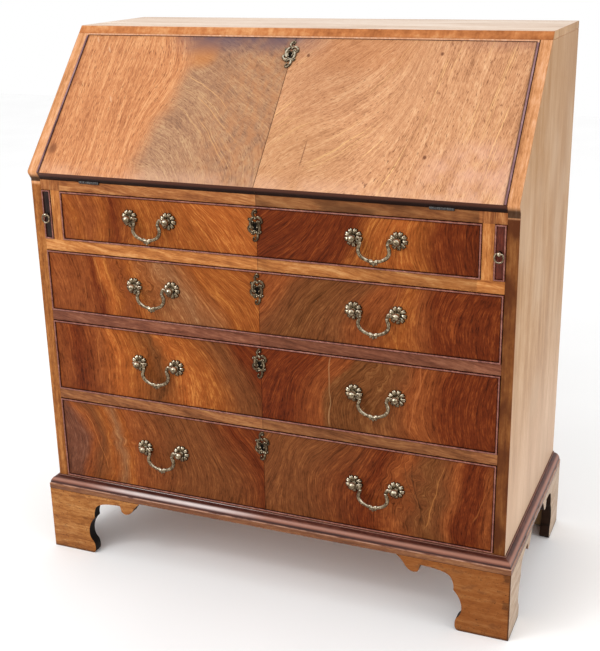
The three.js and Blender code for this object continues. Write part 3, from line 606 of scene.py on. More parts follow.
def left_leaf(net, u, v, slow, curl):
    """Stripes at the left, and grey curves that sweep about a centre below them."""
    sway = 20 * net.math("SINE", (v - 160) / 60)
    stripe_across = u - u.rise(-320, -225) * sway + 14 * slow + 2 * curl
    stripes = fall_leaf(net, stripe_across, v, "985a36 c48254 e0a674", 11, 2.8, 3.0, 0.15)
    ring_u = u + 288
    ring_v = v + 75
    ring = net.math("SQRT", ring_u * ring_u + ring_v * ring_v) + 50 * slow + 12 * curl
    grey = fall_leaf(net, ring, u - v, "7c5a46 a4795a c09a72", 24, 3.4, 17.0, 0.25)
    for radius, first, last in FALL_ARCS:
        arc = (ring - radius).near(1.3, 0.3) * (slow + 2 * curl).rise(-0.5, 0.2)
        grey = grey.under((arc * (u.rise(first, first + 25) * u.rise(last, last - 25)) * 0.6, "dca870"))
    patches = net.noise(u / 14, v / 30, 12.0, 4, 0.65).rise(0.35, 0.65) * u.rise(-190, -40)
    grey = grey.under((net.spot(u, v, (-177, 284), (44, 48)) * 0.6, "c47a3a"), (patches * 0.5, "b87c50"))
    return net.mix((u - sway + 26 * slow + 30 * curl).rise(-246, -196), stripes, grey)


def right_leaf(net, u, v, slow, curl):
    """A plume that rises from the seam and levels out."""
    rise = 1.1 * u - 0.75 * net.ease(u - 85, 34) + 6 * net.ease(u - 240, 40)
    height = v - rise + 70 * slow + 14 * curl
    across = height.most(-150) + (height + 150).least(0) / 6
    return fall_leaf(net, across, u + v, "9c6a48 c88f66 e2b286", 18, 3.0, 31.0, 0.8).under(
        *[(net.spot(u, v, centre, reach) * share, tone) for centre, reach, share, tone in (
            ((50, 70), (150, 110), 0.35, "a4744a"), ((130, 290), (150, 60), 0.35, "b06c3c"),
            ((80, 215), (110, 90), 0.3, "9c6844"))])


def fall_wood():
    """The fall's two leaves with their stain, haze and wear, a painted sheen, grime with painted shade inside the
    side beads, its lower bevel dark with painted shade over its own dark colour, and its plain inside.
    """
    net = Net("fall_veneer", Specular_IOR_Level=0.1, Coat_Weight=0.02, Coat_Roughness=0.2)
    u, v, w = slope_place(net)
    seam = SEAM_X / MM
    bead = FALL_BEAD_WIDTH / MM
    slow = net.noise(u / 150, v / 200, 2.0, 0) - 0.5
    curl = net.noise(u / 50, v / 60, 6.0, 1) - 0.5
    cloud = net.noise(u / 45, v / 45, 9.0, 3)
    stain = v.rise(262, 322) * u.rise(-270, -190) * u.rise(90, -10)
    haze = v.rise(285, 325) * u.rise(250, 420)
    # A painted sheen at the lower right, pale and cloudy.
    painted_sheen = net.spot(u, v, (385, 50), (115, 85)) * cloud.rise(0.3, 0.65)
    foot = v.rise(40, 6) * cloud.rise(0.3, 0.6)
    leaves = [leaf(net, u, v, slow, curl) for leaf in (left_leaf, right_leaf)]
    colour = net.mix(u.rise(seam - 0.1, seam + 0.1), *leaves).under(
        (stain * cloud.rise(0.25, 0.6, 0.4, 0.9), "604e58"), (haze * 0.35, "80545a"), (painted_sheen * 0.5, "dcaa94"),
        (foot * 0.35, "dcae90"))
    for spot, size, share in FALL_KNOTS:
        colour = colour.under((net.spot(u, v, spot, (size, size * 1.3)) * share, "5a2c18"))
    for a, b in FALL_NICKS:
        colour = colour.under((net.spot(u + 0.5 * v, v, (a + 0.5 * b, b), (2.4, 9)) * 0.4, "e8c09c"))
    check = (u - 77 + 14 * slow).near(1.4, 0.4) * net.spot(u, v, (77, 77), (40, 34))
    # Grime, with painted shade, darkens a band inside the side beads.
    grime = (fall_hi.x / MM - abs(u)).rise(bead + 3.2, bead)
    nx, ny, nz = net.facing()
    down = ny * SLOPE.col[1].y + nz * SLOPE.col[1].z
    outward = ny * SLOPE.col[2].y + nz * SLOPE.col[2].z
    # The downward-facing lower bevel is dark with painted shade over its own dark colour, darkest towards its
    # back.
    bevel = net.mix(w.rise(13, 6), "4e2c20", "1c0d09")
    lining = shade(net, grain(net, v + 2 * w, u, 0.0, 24, 3.2, 44.0), "8a4f2c b07244 cc9462")
    colour = colour.under(
        (check * 0.6, "4c2414"), ((u - seam).near(1.2) * 0.7, "3c1e10"), (grime * 0.8, "2c1410"),
        (down.rise(-0.25, -0.6), bevel), (outward.rise(-0.3, -0.7).most(down.rise(0.4, 0.7)), lining))
    fibres = net.noise(u / 1.1, v / 22, w, 2)
    return net.finish(colour, 0.36 + 0.2 * fibres, fibres, 0.05)


def rail_wood(name, tones, shadow, blocks=False, stiles=False):
    """A rail's front with grain along it; its end blocks or the stiles over it run upright."""
    net = Net(name, Specular_IOR_Level=0.1, Coat_Weight=0.02, Coat_Roughness=0.15)
    x, y, z = net.place()
    seam = SEAM_X / MM
    slant = z + 0.12 * x + 20 * net.noise(x / 110, y / 90, z / 90, 0)
    lying = grain(net, slant, x, y, 14, 4.2, 5.0)
    standing = shade(net, grain(net, x, z, y, 13, 3.6, 9.0), tones)
    front = net.facing()[1].rise(-0.5, -0.8)
    joint = (x - seam).near(0.9) * front
    patches = net.noise(x / 90, y / 60, z / 30, 3).rise(0.35, 0.6, 0.5, 1.0)
    right = x.rise(seam - 0.5, seam + 0.5) * abs(x).rise(400, 396)
    colour = shade(net, lying, tones).under((patches * right * front * shadow, "4e2c14"))
    if blocks:
        colour = colour.under((abs(x).rise(403.6, 404.4), standing))
        for edge in (404, 424):
            joint = joint.most((abs(x) - edge).near(0.8))
    if stiles:
        colour = colour.under((z.rise(665.2, 665.8), standing))
    return net.finish(colour.under((joint * 0.7, "3c1c0e")), 0.36 + 0.2 * lying[2], lying[2], 0.06)


def foot_wood():
    """Level grain with dark flecks, bleached on the outer sides, dark on the cut edges, and near black with
    painted shade on its inward faces.
    """
    net = Net("foot_wood", Specular_IOR_Level=0.1)
    x, y, z = net.place()
    slant = z + 12 * net.noise(x / 90, y / 90, z / 60, 0)
    parts = grain(net, slant, x + y, 0.0, 12, 3.0, 21.0)
    bleached = shade(net, parts, "9c826c b49c86 c8b4a0")
    beside = abs(x).rise(OUTER_HALF / MM - 2, OUTER_HALF / MM - 0.5)
    facing = net.facing()
    nx, ny, nz = map(abs, facing)
    blotch = net.noise(x / 22, y / 22, z / 12, 3).rise(0.54, 0.7)
    flecks = net.noise(x / 3, y / 3, z / 3, 1).rise(0.66, 0.74)
    frayed = x + 14 * net.noise(z / 4, y / 30, 4.0, 3) - 3
    pins = net.math("SINE", z / 9).rise(0.5, 0.8) * frayed.rise(470, 474) * z.rise(20, 30)
    wear = (pins * 0.6).most(x.rise(477, 480)) * ny.rise(0.8, 0.95)
    # Faces that turn inwards are near black with painted shade.
    inward_shade = [(way * at.sign()).rise(-0.5, -0.8) for way, at in zip(facing, (x, y))]
    colour = shade(net, parts, "74401a 9c6230 c08a52").under(
        (x.rise(100, 300) * 0.65, "7c4218"), (blotch * 0.4, "5c3018"), (flecks * 0.6, "2c140a"),
        (nx.rise(0.8, 0.95) * beside, bleached), (ny.most(nx * beside).rise(0.9, 0.7) * 0.9, "160b07"),
        (z.rise(7, 0.5) * 0.7, "24110a"), (wear * 0.75, "24120a"), (inward_shade[0].most(inward_shade[1]) * 0.92, "0d0b0a"))
    return net.finish(colour, 0.42 + 0.2 * parts[2], parts[2] - flecks, 0.08)


def brass(name, sloping=False, face=FRONT_Y):
    """Old brass: dirt in what lies low on the front, bright wear on what stands proud of it, and a painted
    highlight on its upward faces.
    """
    net = Net(name, Metallic=1.0)
    x, y, z = net.place()
    proud = slope_place(net)[2] - FALL_FACE / MM if sloping else face / MM - y
    patina = net.noise(x / 4, y / 4, z / 4, 3, 0.6)
    grime = net.noise(x / 1.1, y / 1.1, z / 1.1, 3, 0.6)
    # Faces that turn upwards get a painted highlight, as if lit from above.
    painted_top_highlight = net.facing()[2].rise(0.1, 0.9) * 0.35
    wear_and_light = proud.rise(0.6, 3.6, 0.0, 0.7) + painted_top_highlight + 0.9 * (patina - 0.5)
    colour = net.ramp(
        wear_and_light, [(0.0, "060504"), (0.35, "241c14"), (0.64, "5c4c3a"), (0.84, "9c8c72"), (1.0, "e0d6c0")])
    return net.finish(colour, 0.2 + 0.2 * grime, grime, 0.12)


def steel(name):
    """Dull grey iron with brown rust in its low places."""
    net = Net(name, Metallic=1.0)
    x, y, z = net.place()
    rust = net.noise(x / 3, y / 3, z / 3, 4, 0.65)
    colour = net.ramp(rust, [(0.3, "2c2320"), (0.5, "4a4848"), (0.75, "787674")])
    return net.finish(colour, 0.4 + 0.3 * rust, rust, 0.1)


def fall_bead_wood():
    """Purple-brown at its sides, pinkish along the top, and nearly black with painted shade beside its crest."""
    net = Net("fall_bead_wood", Specular_IOR_Level=0.2, Coat_Weight=0.2, Coat_Roughness=0.2)
    u, v, w = slope_place(net)
    face, top = FALL_FACE / MM, fall_hi.y / MM
    parts = grain(net, w * 1.5 + u, v, 0.0, 6, 2.4, 2.0)
    side = shade(net, parts, "5c3a3c 805a5e a68486")
    high = shade(net, parts, "b47850 cc946e dcac8c")
    # Low on the bead, beside its crest, it is nearly black with painted shade.
    colour = net.mix(w.rise(face + 0.9, face + 2.1), "301814", side.under((v.rise(top - 7, top - 5), high)))
    return net.finish(colour, 0.3 + 0.1 * parts[2], parts[2], 0.04)


def bead_wood():
    """A painted pinkish highlight where its round stands proudest, and nearly black with painted shade in the
    quirks beside it.
    """
    net = Net("bead_wood", Specular_IOR_Level=0.2, Coat_Weight=0.4, Coat_Roughness=0.15)
    x, y, z = net.place()
    parts = grain(net, z + x, x - z, y, 10, 2.6, 8.0)
    proud = FRONT_Y / MM - y + 1.2 * (parts[3] - 0.5)
    # Low on the bead it is nearly black with painted shade in the quirks; its crest gets a painted pinkish
    # highlight.
    colour = net.mix(proud.rise(0.7, 2.0), "260d08", shade(net, parts, "501e14 703428 9c6250")).under(
        (proud.rise(2.0, 2.5) * 0.25, "b48474"))
    return net.finish(colour, 0.28 + 0.1 * parts[2], parts[2], 0.04)


def plinth_wood():
    """Dark on its round under a painted highlight, browner on its fascia, with a painted highlight line between
    them.
    """
    net = Net("plinth_wood", Specular_IOR_Level=0.15, Coat_Weight=0.25, Coat_Roughness=0.2)
    x, y, z = net.place()
    parts = grain(net, z * 1.6, x + y, 0.0, 14, 3.0, 27.0)
    edge = (moulding_lo.z + FASCIA_HEIGHT) / MM
    dark = shade(net, parts, "2e120c 4c241a 6c3c2e")
    brown = shade(net, parts, "4c2814 724224 98663e")
    wear_and_light = net.noise(x / 30, y / 30, z / 6, 3)
    up = net.facing()[2]
    # A painted highlight along the ovolo's crown, whitest round a peak left of the front's middle.
    painted_highlight = up.rise(0.25, 0.55) * up.rise(0.9, 0.65)
    highlight_peak = net.spot(x, y, (-190, FRONT_Y / MM - 8), (210, 60))
    # Over the wood lie the painted highlight, a painted highlight line along the fascia's top edge, both patchy
    # after a noise, and a dark line just above that edge.
    colour = net.mix(z.rise(edge - 1.6, edge + 0.6), brown, dark).under(
        (painted_highlight * (0.5 + 0.3 * wear_and_light), net.mix(highlight_peak * 0.9, "ae7660", "f0e2de")),
        ((z - edge).near(1.1, 0.3) * wear_and_light.rise(0.3, 0.6) * 0.7, "c89a80"),
        ((z - edge - 3).near(1.4, 0.4) * 0.7, "1c0b08"))
    return net.finish(colour, 0.3 + 0.15 * parts[2], parts[2], 0.05)


# A near-black material of painted shade, for the inside of a keyhole.
def painted_shade_material(name):
    net = Net(name, Roughness=0.9, Specular_IOR_Level=0.1)
    x, y, z = net.place()
    shade_mottle = net.noise(x / 2, y / 2, z / 2, 3)
    return net.finish(net.ramp(shade_mottle, [(0.3, "050403"), (0.7, "120c08")]))


SIDE_WOOD = side_wood()
TOP_WOOD = top_wood()
FALL_WOOD = fall_wood()
DRAWER_WOODS = {number: drawer_wood(number) for number in range(1, 5)}
UPPER_RAIL_WOOD = rail_wood("upper_rail_wood", "6e3a1c 9a5e32 be8450", 0.85, blocks=True)
GOLD_RAIL_WOOD = rail_wood("gold_rail_wood", "864a20 b47038 d89c60", 0.35, stiles=True)
PURPLE_RAIL_WOOD = rail_wood("purple_rail_wood", "502819 74422e 966046", 0.2)
BROWN_RAIL_WOOD = rail_wood("brown_rail_wood", "603418 8a5430 ae7848", 0.3)
LOPER_WOODS = {
    "left": wood("left_loper_wood", "18100e 2c1c18 442c26", "0c0706", "Z", 0.3, 0.05, 14, 3.0),
    "right": wood("right_loper_wood", "3c160c 60281a 843f26", "1a0806", "Z", 0.3, 0.05, 14, 3.0),
}
BEAD_WOOD = bead_wood()
FALL_BEAD_WOOD = fall_bead_wood()
PLINTH_WOOD = plinth_wood()
FOOT_WOOD = foot_wood()
BACK_WOOD = wood("back_wood", "7d6244 967752 ad9068", "4c3822", "Z", 0.7)
LINING_WOOD = wood("lining_oak", "8d6c43 a98659 c2a273", "5a4227", "Y", 0.6)
INTERIOR_WOOD = wood("interior_wood", "6e3a1c 96562c b77a46", "3c1a0c", "X", 0.4, 0.05)
HINGE_STEEL = steel("hinge_steel")
BRASS = brass("old_brass")
FALL_BRASS = brass("old_fall_brass", sloping=True)
KNOB_BRASS = brass("old_knob_brass", face=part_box("small_drawer_1")[0].y + SMALL_KNOB_LENGTH)
KEYHOLE_SHADE = painted_shade_material("keyhole_painted_shade")


# Carcass

def carcass():
    for node, material, edge in (
            ("side_left", SIDE_WOOD, "side"), ("side_right", SIDE_WOOD, "side"), ("top_board", TOP_WOOD, "top"),
            ("writing_board", UPPER_RAIL_WOOD, "rail"), ("loper_frame", GOLD_RAIL_WOOD, "rail"),
            ("drawer_rail_2", PURPLE_RAIL_WOOD, "rail"), ("drawer_rail_3", BROWN_RAIL_WOOD, "rail"),
            ("bottom_board", BROWN_RAIL_WOOD, "rail")):
        dressed(node, material, EASED[edge])
    lo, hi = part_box("back_panel")
    edges = [lo.x + share * (hi.x - lo.x) for share in BACK_BOARD_SHARES]
    boards("back_boards", [((left + SEAT_GAP, lo.y, lo.z), (right - SEAT_GAP, hi.y, hi.z))
                           for left, right in zip(edges, edges[1:])], BACK_WOOD, "back_panel", bevel=EASED["back"])


# Plinth moulding: three mitred lengths

def moulding_profile():
    """Points out from the carcass and up: the fascia, the ovolo over it and the fillet on top."""
    height = moulding_hi.z - moulding_lo.z
    proud = moulding_hi.x - OUTER_HALF
    reach = proud - FASCIA_STEP - FILLET_PROUD
    rise = height - FASCIA_HEIGHT - FILLET_HEIGHT
    ovolo = [(FILLET_PROUD + reach * math.cos(a), FASCIA_HEIGHT + rise * math.sin(a))
             for a in angles(math.pi / 2, 12)]
    return [
        (0, 0), (proud - 1 * MM, 0), (proud - 0.3 * MM, 0.3 * MM), (proud, 1 * MM),
        (proud, FASCIA_HEIGHT - 0.8 * MM), (proud - 0.4 * MM, FASCIA_HEIGHT), *ovolo,
        (FILLET_PROUD, height - 0.6 * MM), (FILLET_PROUD - 0.6 * MM, height), (0, height)]


def moulding():
    corners = [(-1, BACK_Y, 0), (-1, FRONT_Y, -1), (1, FRONT_Y, -1), (1, BACK_Y, 0)]
    for label, ends in zip(("left", "front", "right"), zip(corners, corners[1:])):
        bm = bmesh.new()
        skin(bm, [[(hand * (OUTER_HALF + out), y + way * out, moulding_lo.z + up)
                   for out, up in moulding_profile()] for hand, y, way in ends])
        piece("plinth_moulding_" + label, bm, PLINTH_WOOD, "plinth_moulding")


# Bracket feet; each curve's bend and end are shares of the bracket's length and height

BRACKET_FOOT_SHARE = 0.43
BRACKET_CURVE_SHARES = [
    (0.468, 0, 0.468, 0.09), (0.47, 0.19, 0.436, 0.228), (0.402, 0.31, 0.418, 0.42),
    (0.432, 0.53, 0.488, 0.62), (0.484, 0.7, 0.5, 0.76), (0.512, 0.83, 0.56, 0.857),
    (0.64, 0.905, 0.781, 0.905), (0.79, 0.868, 0.794, 0.83), (0.804, 0.78, 0.842, 0.78),
    (0.89, 0.785, 0.918, 0.855), (0.948, 0.94, 1, 1)]


def bracket_outline(length, height, steps=6):
    """The scrolled edge of a bracket, from its toe up to the end of its wing."""
    here = (BRACKET_FOOT_SHARE, 0)
    shares = [here]
    for bend_a, bend_b, end_a, end_b in BRACKET_CURVE_SHARES:
        for i in range(1, steps + 1):
            t = i / steps
            shares.append((
                here[0] * (1 - t) ** 2 + 2 * bend_a * t * (1 - t) + end_a * t ** 2,
                here[1] * (1 - t) ** 2 + 2 * bend_b * t * (1 - t) + end_b * t ** 2))
        here = (end_a, end_b)
    return [(0, 0), *[(a * length, b * height) for a, b in shares], (0, height)]


def bracket(name, node, outline, place, turned_back):
    """A bracket whose outer end is mitred; turned back, it runs along the side instead."""
    rings = [[(max(a, depth), depth, b) for a, b in outline] for depth in (0, BRACKET_THICKNESS)]
    bm = bmesh.new()
    skin(bm, [[(y, x, z) if turned_back else (x, y, z) for x, y, z in ring] for ring in rings])
    piece(name, bm, FOOT_WOOD, node, place, EASED["foot"])


def feet():
    for depth, hand_y in (("front", 1), ("back", -1)):
        for label, hand in (("left", -1), ("right", 1)):
            node = f"foot_{depth}_{label}"
            lo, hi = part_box(node)
            corner = (hand * max(abs(lo.x), abs(hi.x)), lo.y if hand_y > 0 else hi.y, 0)
            place = Matrix.Translation(corner) @ Matrix.Diagonal((-hand, hand_y, 1, 1))
            length, side_length, height = hi - lo
            plain = [(0, 0), (length * BACK_FOOT_SHARE, 0), (length, height), (0, height)]
            face = bracket_outline(length, height) if depth == "front" else plain
            bracket(f"{node}_face", node, face, place, False)
            bracket(f"{node}_side", node, bracket_outline(side_length, height), place, True)
            start, end = BRACKET_THICKNESS, BRACKET_THICKNESS + GLUE_BLOCK
            boards(f"{node}_block", [((start, start, GLUE_BLOCK_LIFT), (end, end, height))],
                   BACK_WOOD, node, place, EASED["block"])


# The fall

def fall():
    thickness = FALL_FACE
    bm = bmesh.new()
    section = [(0, 0), (fall_hi.y, 0), (fall_hi.y, thickness), (FALL_BEVEL, thickness)]
    for ends in ((fall_lo.x, SEAM_X - SEAM_GAP), (SEAM_X + SEAM_GAP, fall_hi.x)):
        skin(bm, [[(x, a, b) for a, b in section] for x in ends])
    piece("fall_boards", bm, FALL_WOOD, "fall_board", SLOPE, EASED["fall"])
    bead = bmesh.new()
    nose = [(FALL_BEAD_WIDTH / 2 * (1 - math.cos(a)), thickness + BEAD_PROUD * math.sin(a))
            for a in angles(math.pi, 10)]
    profile = [(0, thickness - SEAT_GAP), *nose, (FALL_BEAD_WIDTH, thickness - SEAT_GAP)]
    corners = ((-1, FALL_BEVEL, 0), (-1, fall_hi.y, -1), (1, fall_hi.y, -1), (1, FALL_BEVEL, 0))
    skin(bead, [[(hand * (fall_hi.x - inset), level + way * inset, out) for inset, out in profile]
                for hand, level, way in corners])
    piece("fall_bead", bead, FALL_BEAD_WOOD, "fall_board", SLOPE)
    for node in ("hinge_left", "hinge_right", "fall_hinge_leaf_left", "fall_hinge_leaf_right"):
        dressed(node, HINGE_STEEL, EASED["hinge"], "_metal")


# Drawers

def cock_bead(name, node, lo, hi):
    """A half-round bead, mitred round a front."""
    nose = BEAD_WIDTH / 2
    crest = [(nose * (1 - math.cos(a)), FRONT_Y - BEAD_PROUD + nose * (1 - math.sin(a)))
             for a in angles(math.pi, 8)]
    seat = FRONT_Y + BEAD_WIDTH
    profile = [(0, seat), *crest, (BEAD_WIDTH, seat)]
    bm = bmesh.new()
    corners = ((lo.x, lo.z, 1, 1), (hi.x, lo.z, -1, 1), (hi.x, hi.z, -1, -1), (lo.x, hi.z, 1, -1))
    skin(bm, [[(x + way_x * inset, y, z + way_z * inset) for inset, y in profile]
              for x, z, way_x, way_z in corners], closed=True)
    piece(name, bm, BEAD_WOOD, node)


def drawer(number):
    node = f"drawer_{number}"
    lo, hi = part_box(node)
    half = hi.x
    inset = BEAD_WIDTH + BEAD_GAP
    front_y = FRONT_Y + FRONT_THICKNESS
    leaves = [((start, FRONT_Y, lo.z + inset), (end, FRONT_Y + FACE_THICKNESS, hi.z - inset))
              for start, end in ((-half + inset, SEAM_X - SEAM_GAP), (SEAM_X + SEAM_GAP, half - inset))]
    boards(f"{node}_front", [*leaves, ((-half, FRONT_Y + FACE_STEP, lo.z), (half, front_y, hi.z))],
           DRAWER_WOODS[number], node, bevel=EASED["front"])
    cock_bead(f"{node}_bead", node, lo, hi)
    outer = half - TRAY_INSET
    inner = outer - TRAY_WALL + TRAY_TONGUE
    back_y = hi.y - TRAY_TONGUE
    floor = lo.z + TRAY_BOTTOM_LIFT
    sides = [((start, front_y - SEAT_GAP, lo.z), (end, hi.y, hi.z - TRAY_SIDE_DROPS[number]))
             for start, end in ((-outer, -outer + TRAY_WALL), (outer - TRAY_WALL, outer))]
    back = (-inner, back_y - TRAY_WALL, lo.z + TRAY_TONGUE), (inner, back_y, hi.z - TRAY_BACK_DROP)
    bottom = (-inner, front_y, floor), (inner, back_y - TRAY_TONGUE, floor + TRAY_BOTTOM)
    boards(f"{node}_tray", [*sides, back, bottom], LINING_WOOD, node, bevel=EASED["tray"])


# Brassware, each in a frame with X right, Y up and Z out of the front; profiles and bars' radii in millimetres

def on_front(x, z, y=FRONT_Y):
    return Matrix.Translation((x, y, z)) @ Matrix.Rotation(math.pi / 2, 4, "X")


ROSE_RAYS = 9
ROSE_TWIST = 0.3
ROSE_LEVELS = [(1, 0.4), (1, 1.4), (0.95, 2.8), (0.82, 4.2), (0.66, 4.9), (0.52, 4.4), (0.42, 3.2), (0.34, 2.2)]
# The depth of a ray's rounding, then the depths and widths of the gap beside it, its fork and its groove
RAY_ROUNDING = 0.1
RAY_GAP = (0.34, 0.11)
RAY_FORK = (0.11, 0.07)
RAY_GROOVE = (0.5, 0.05)
RAY_HEIGHT = 0.9 * MM
RAY_LOWEST = 0.5 * MM
POST_NECK = [(5.8, 1.2), (5.6, 2.6), (4.6, 4.2), (4.2, 5.0), (4.8, 5.8), (4.6, 6.4), (3.6, 6.8)]
NUT_PROFILE = [(5, -3), (6, -2.4), (6, -0.6), (5, 0)]
SHANK_PROFILE = [(2.6, -6), (3, -5), (3, -2)]


def hump(offset, depth, width):
    """The depth at no offset, falling away on both sides."""
    return depth * math.exp(-(offset / width) ** 2)


def rose_ring(share, lift, sides=144):
    """A ring of the rose at a share of its radius, with its rays' ridges and forked tips."""
    ring = []
    for i in range(sides):
        phase = (i * ROSE_RAYS / sides + 0.5) % 1 - 0.5
        notch = RAY_ROUNDING * (2 * phase) ** 2 + hump(abs(phase) - 0.5, *RAY_GAP) + hump(phase, *RAY_FORK)
        radius = ROSE_RADIUS * share * (1 - notch * share ** 1.5)
        ridge = math.cos(2 * math.pi * phase) - hump(phase, *RAY_GROOVE)
        height = lift + RAY_HEIGHT * ridge * math.sin(math.pi * min(share, 0.98)) * (lift > RAY_LOWEST)
        angle = 2 * math.pi * i / sides + ROSE_TWIST * share
        ring.append((radius * math.sin(angle), radius * math.cos(angle), height))
    return ring


def post(name, node, x, z):
    bm = bmesh.new()
    skin(bm, [rose_ring(share, lift * MM) for share, lift in ROSE_LEVELS])
    turned(bm, in_mm(POST_NECK))
    ball(bm, (0, 0, BALL_REACH), BALL_RADIUS)
    piece(name, bm, BRASS, node, on_front(x, z))
    nut = bmesh.new()
    back = -FRONT_THICKNESS - SEAT_GAP
    for profile, sides in ((NUT_PROFILE, 6), (SHANK_PROFILE, 16)):
        turned(nut, [(radius, back + height) for radius, height in in_mm(profile)], sides)
    piece(name + "_nut", nut, BRASS, node, on_front(x, z), stands_for=False)


# Out from the middle and up as shares of the half room and the drop, and the bar's radius
BAIL_SHARES = [
    (1.09, 0, 1.5), (1.0, 0, 1.6), (0.97, 0.01, 1.9), (0.93, 0.06, 2.1), (0.875, 0.1, 2.1), (0.82, 0.085, 2.2),
    (0.775, 0.02, 2.5), (0.745, -0.06, 2.8), (0.745, -0.15, 3.0), (0.78, -0.25, 3.3), (0.83, -0.36, 3.5),
    (0.84, -0.47, 3.5), (0.79, -0.6, 3.5), (0.68, -0.72, 3.5), (0.53, -0.8, 3.3), (0.36, -0.86, 3.0),
    (0.25, -0.9, 2.8), (0.12, -0.92, 2.9), (0, -0.93, 3.0)]
BAIL_COLLAR_SHARES = [(0.742, -0.1, 2.6), (0.74, -0.12, 3.4), (0.742, -0.15, 3.4), (0.75, -0.17, 2.7)]
# The rings beside the boss: each one's place out and down, and its profile along the bar
BOSS_RING_SHARES = [(0.3, 0.87), (0.22, 0.88)]
BOSS_RING_PROFILE = [(0.94, 2.7), (1.0, 3.5), (1.06, 3.5), (1.12, 2.7)]
BOSS_DROP_SHARE = 0.9
# A fan of petals on the boss: their turns from straight down, and points out with radii
BOSS_PETAL_TURNS = [math.radians(angle) for angle in (0, 48, -48, 104, -104)]
BOSS_PETAL = [(0.5, 1.2), (3, 2.2), (5.6, 2.5), (7.8, 1.8), (9, 0.5)]
BOSS_PETAL_FLAT = 0.95
BOSS_BALL_REACH = 2.4 * MM
BOSS_BALL_RADIUS = 1.9 * MM
# A small curl beside each ball: its centre and its reach, as shares out and up, and its bar's radius
BAIL_CURL_CENTRE = (0.8, -0.02)
BAIL_CURL_REACH = (0.06, -0.05)
BAIL_CURL_BAR = 1.2 * MM


def bail(name, node):
    half = POST_SPACING / 2 - BALL_RADIUS
    boss_y = -BOSS_DROP_SHARE * BAIL_DROP
    bm = bmesh.new()
    tube(bm, smooth_path(mirrored([(a * half, b * BAIL_DROP, 0, r * MM) for a, b, r in BAIL_SHARES]), 4), 12)
    (out, up), (reach_out, reach_up) = BAIL_CURL_CENTRE, BAIL_CURL_REACH
    for hand in (-1, 1):
        tube(bm, [(hand * a * half, b * BAIL_DROP, 0, r * MM) for a, b, r in BAIL_COLLAR_SHARES], 14)
        curl = [(hand * half * (out + reach_out * math.cos(a)), BAIL_DROP * (up + reach_up * math.sin(a)), 0,
                 BAIL_CURL_BAR) for a in angles(1.5 * math.pi, 9)]
        tube(bm, curl, 8)
    for turn in BOSS_PETAL_TURNS:
        petal = [(far * math.sin(turn), boss_y - far * math.cos(turn), 0, r) for far, r in in_mm(BOSS_PETAL)]
        tube(bm, smooth_path(petal, 3), 12, BOSS_PETAL_FLAT)
    ball(bm, (0, boss_y, BOSS_BALL_REACH), BOSS_BALL_RADIUS, 8, 14)
    for hand in (-1, 1):
        for reach, down in BOSS_RING_SHARES:
            tube(bm, [(hand * reach * half * a, -down * BAIL_DROP, 0, r * MM) for a, r in BOSS_RING_PROFILE], 12)
    pivot = JOINT_AT[node + "_swing"]
    piece(name, bm, BRASS, node, on_front(pivot.x, pivot.z, pivot.y))


# Curls of the scutcheon: rows of points across and up, as shares of its width and height, with radii
SCUTCHEON_SCROLLS = [
    [(0.02, 0.72, 1.4), (-0.1, 0.78, 1.9), (-0.13, 0.86, 2.0), (-0.02, 0.94, 1.7), (0.09, 0.94, 1.3),
     (0.11, 0.89, 1.1), (0.04, 0.87, 1.2)],
    [(0.02, 0.7, 1.4), (0.14, 0.75, 2.1), (0.28, 0.74, 2.3), (0.4, 0.67, 1.9), (0.42, 0.6, 1.5),
     (0.33, 0.58, 1.3), (0.28, 0.63, 1.4)],
    [(-0.02, 0.74, 1.4), (-0.19, 0.7, 2.2), (-0.29, 0.6, 2.4), (-0.27, 0.48, 2.2), (-0.17, 0.41, 1.7),
     (-0.1, 0.45, 1.2)],
    [(0.18, 0.64, 1.4), (0.26, 0.55, 2.1), (0.29, 0.44, 2.3), (0.22, 0.35, 2.1), (0.09, 0.31, 1.8),
     (0.0, 0.35, 1.3)],
    [(-0.06, 0.36, 1.4), (-0.18, 0.32, 2.1), (-0.33, 0.34, 2.3), (-0.42, 0.42, 1.9), (-0.37, 0.48, 1.5),
     (-0.29, 0.45, 1.4)],
    [(0.1, 0.32, 1.6), (0.16, 0.24, 2.2), (0.12, 0.14, 2.1), (0.02, 0.075, 1.7), (-0.09, 0.07, 1.4),
     (-0.13, 0.13, 1.2), (-0.06, 0.17, 1.3)],
    [(-0.13, 0.62, 1.2), (-0.17, 0.54, 1.5), (-0.14, 0.46, 1.2)],
    [(0.13, 0.62, 1.2), (0.16, 0.54, 1.5), (0.13, 0.46, 1.2)],
    [(-0.02, 0.3, 1.4), (-0.12, 0.26, 1.6), (-0.2, 0.27, 1.2)],
    [(0.22, 0.3, 1.2), (0.3, 0.3, 1.5), (0.36, 0.34, 1.1)],
    [(-0.3, 0.68, 1.2), (-0.38, 0.7, 1.4), (-0.4, 0.66, 1.1)],
]
SCROLL_LIFT = 1.6 * MM
SCROLL_BAR_SHARE = 1.15
SCROLL_END_SHARE = 1.25
# The rim about the keyhole: how far each line lies outside the hole, and its height
KEYHOLE_RIM = [(2.6, 0.3), (2.6, 1.2), (1.2, 2.1), (0, 1.9), (0, 0.6)]
# The keyhole's near-black floor, a sheet of painted shade: its margin outside the hole and its heights
KEYHOLE_SHADE_LEVELS = [(0.1, 0.2), (0.1, 0.7)]


def keyhole(bm, levels):
    """A skin of keyhole outlines, each grown by a margin and at a height."""
    rings = []
    for grow, height in in_mm(levels):
        radius = KEYHOLE_RADIUS + grow
        half_slot = KEYHOLE_SLOT / 2 + grow
        start = -math.pi / 2 + math.asin(min(half_slot / radius, 0.99))
        arc = [(radius * math.cos(start + a), radius * math.sin(start + a), height)
               for a in angles(math.pi - 2 * start, 12)]
        low = -KEYHOLE_DROP - grow
        rings.append([*arc, (-half_slot, low, height), (half_slot, low, height)])
    skin(bm, rings)


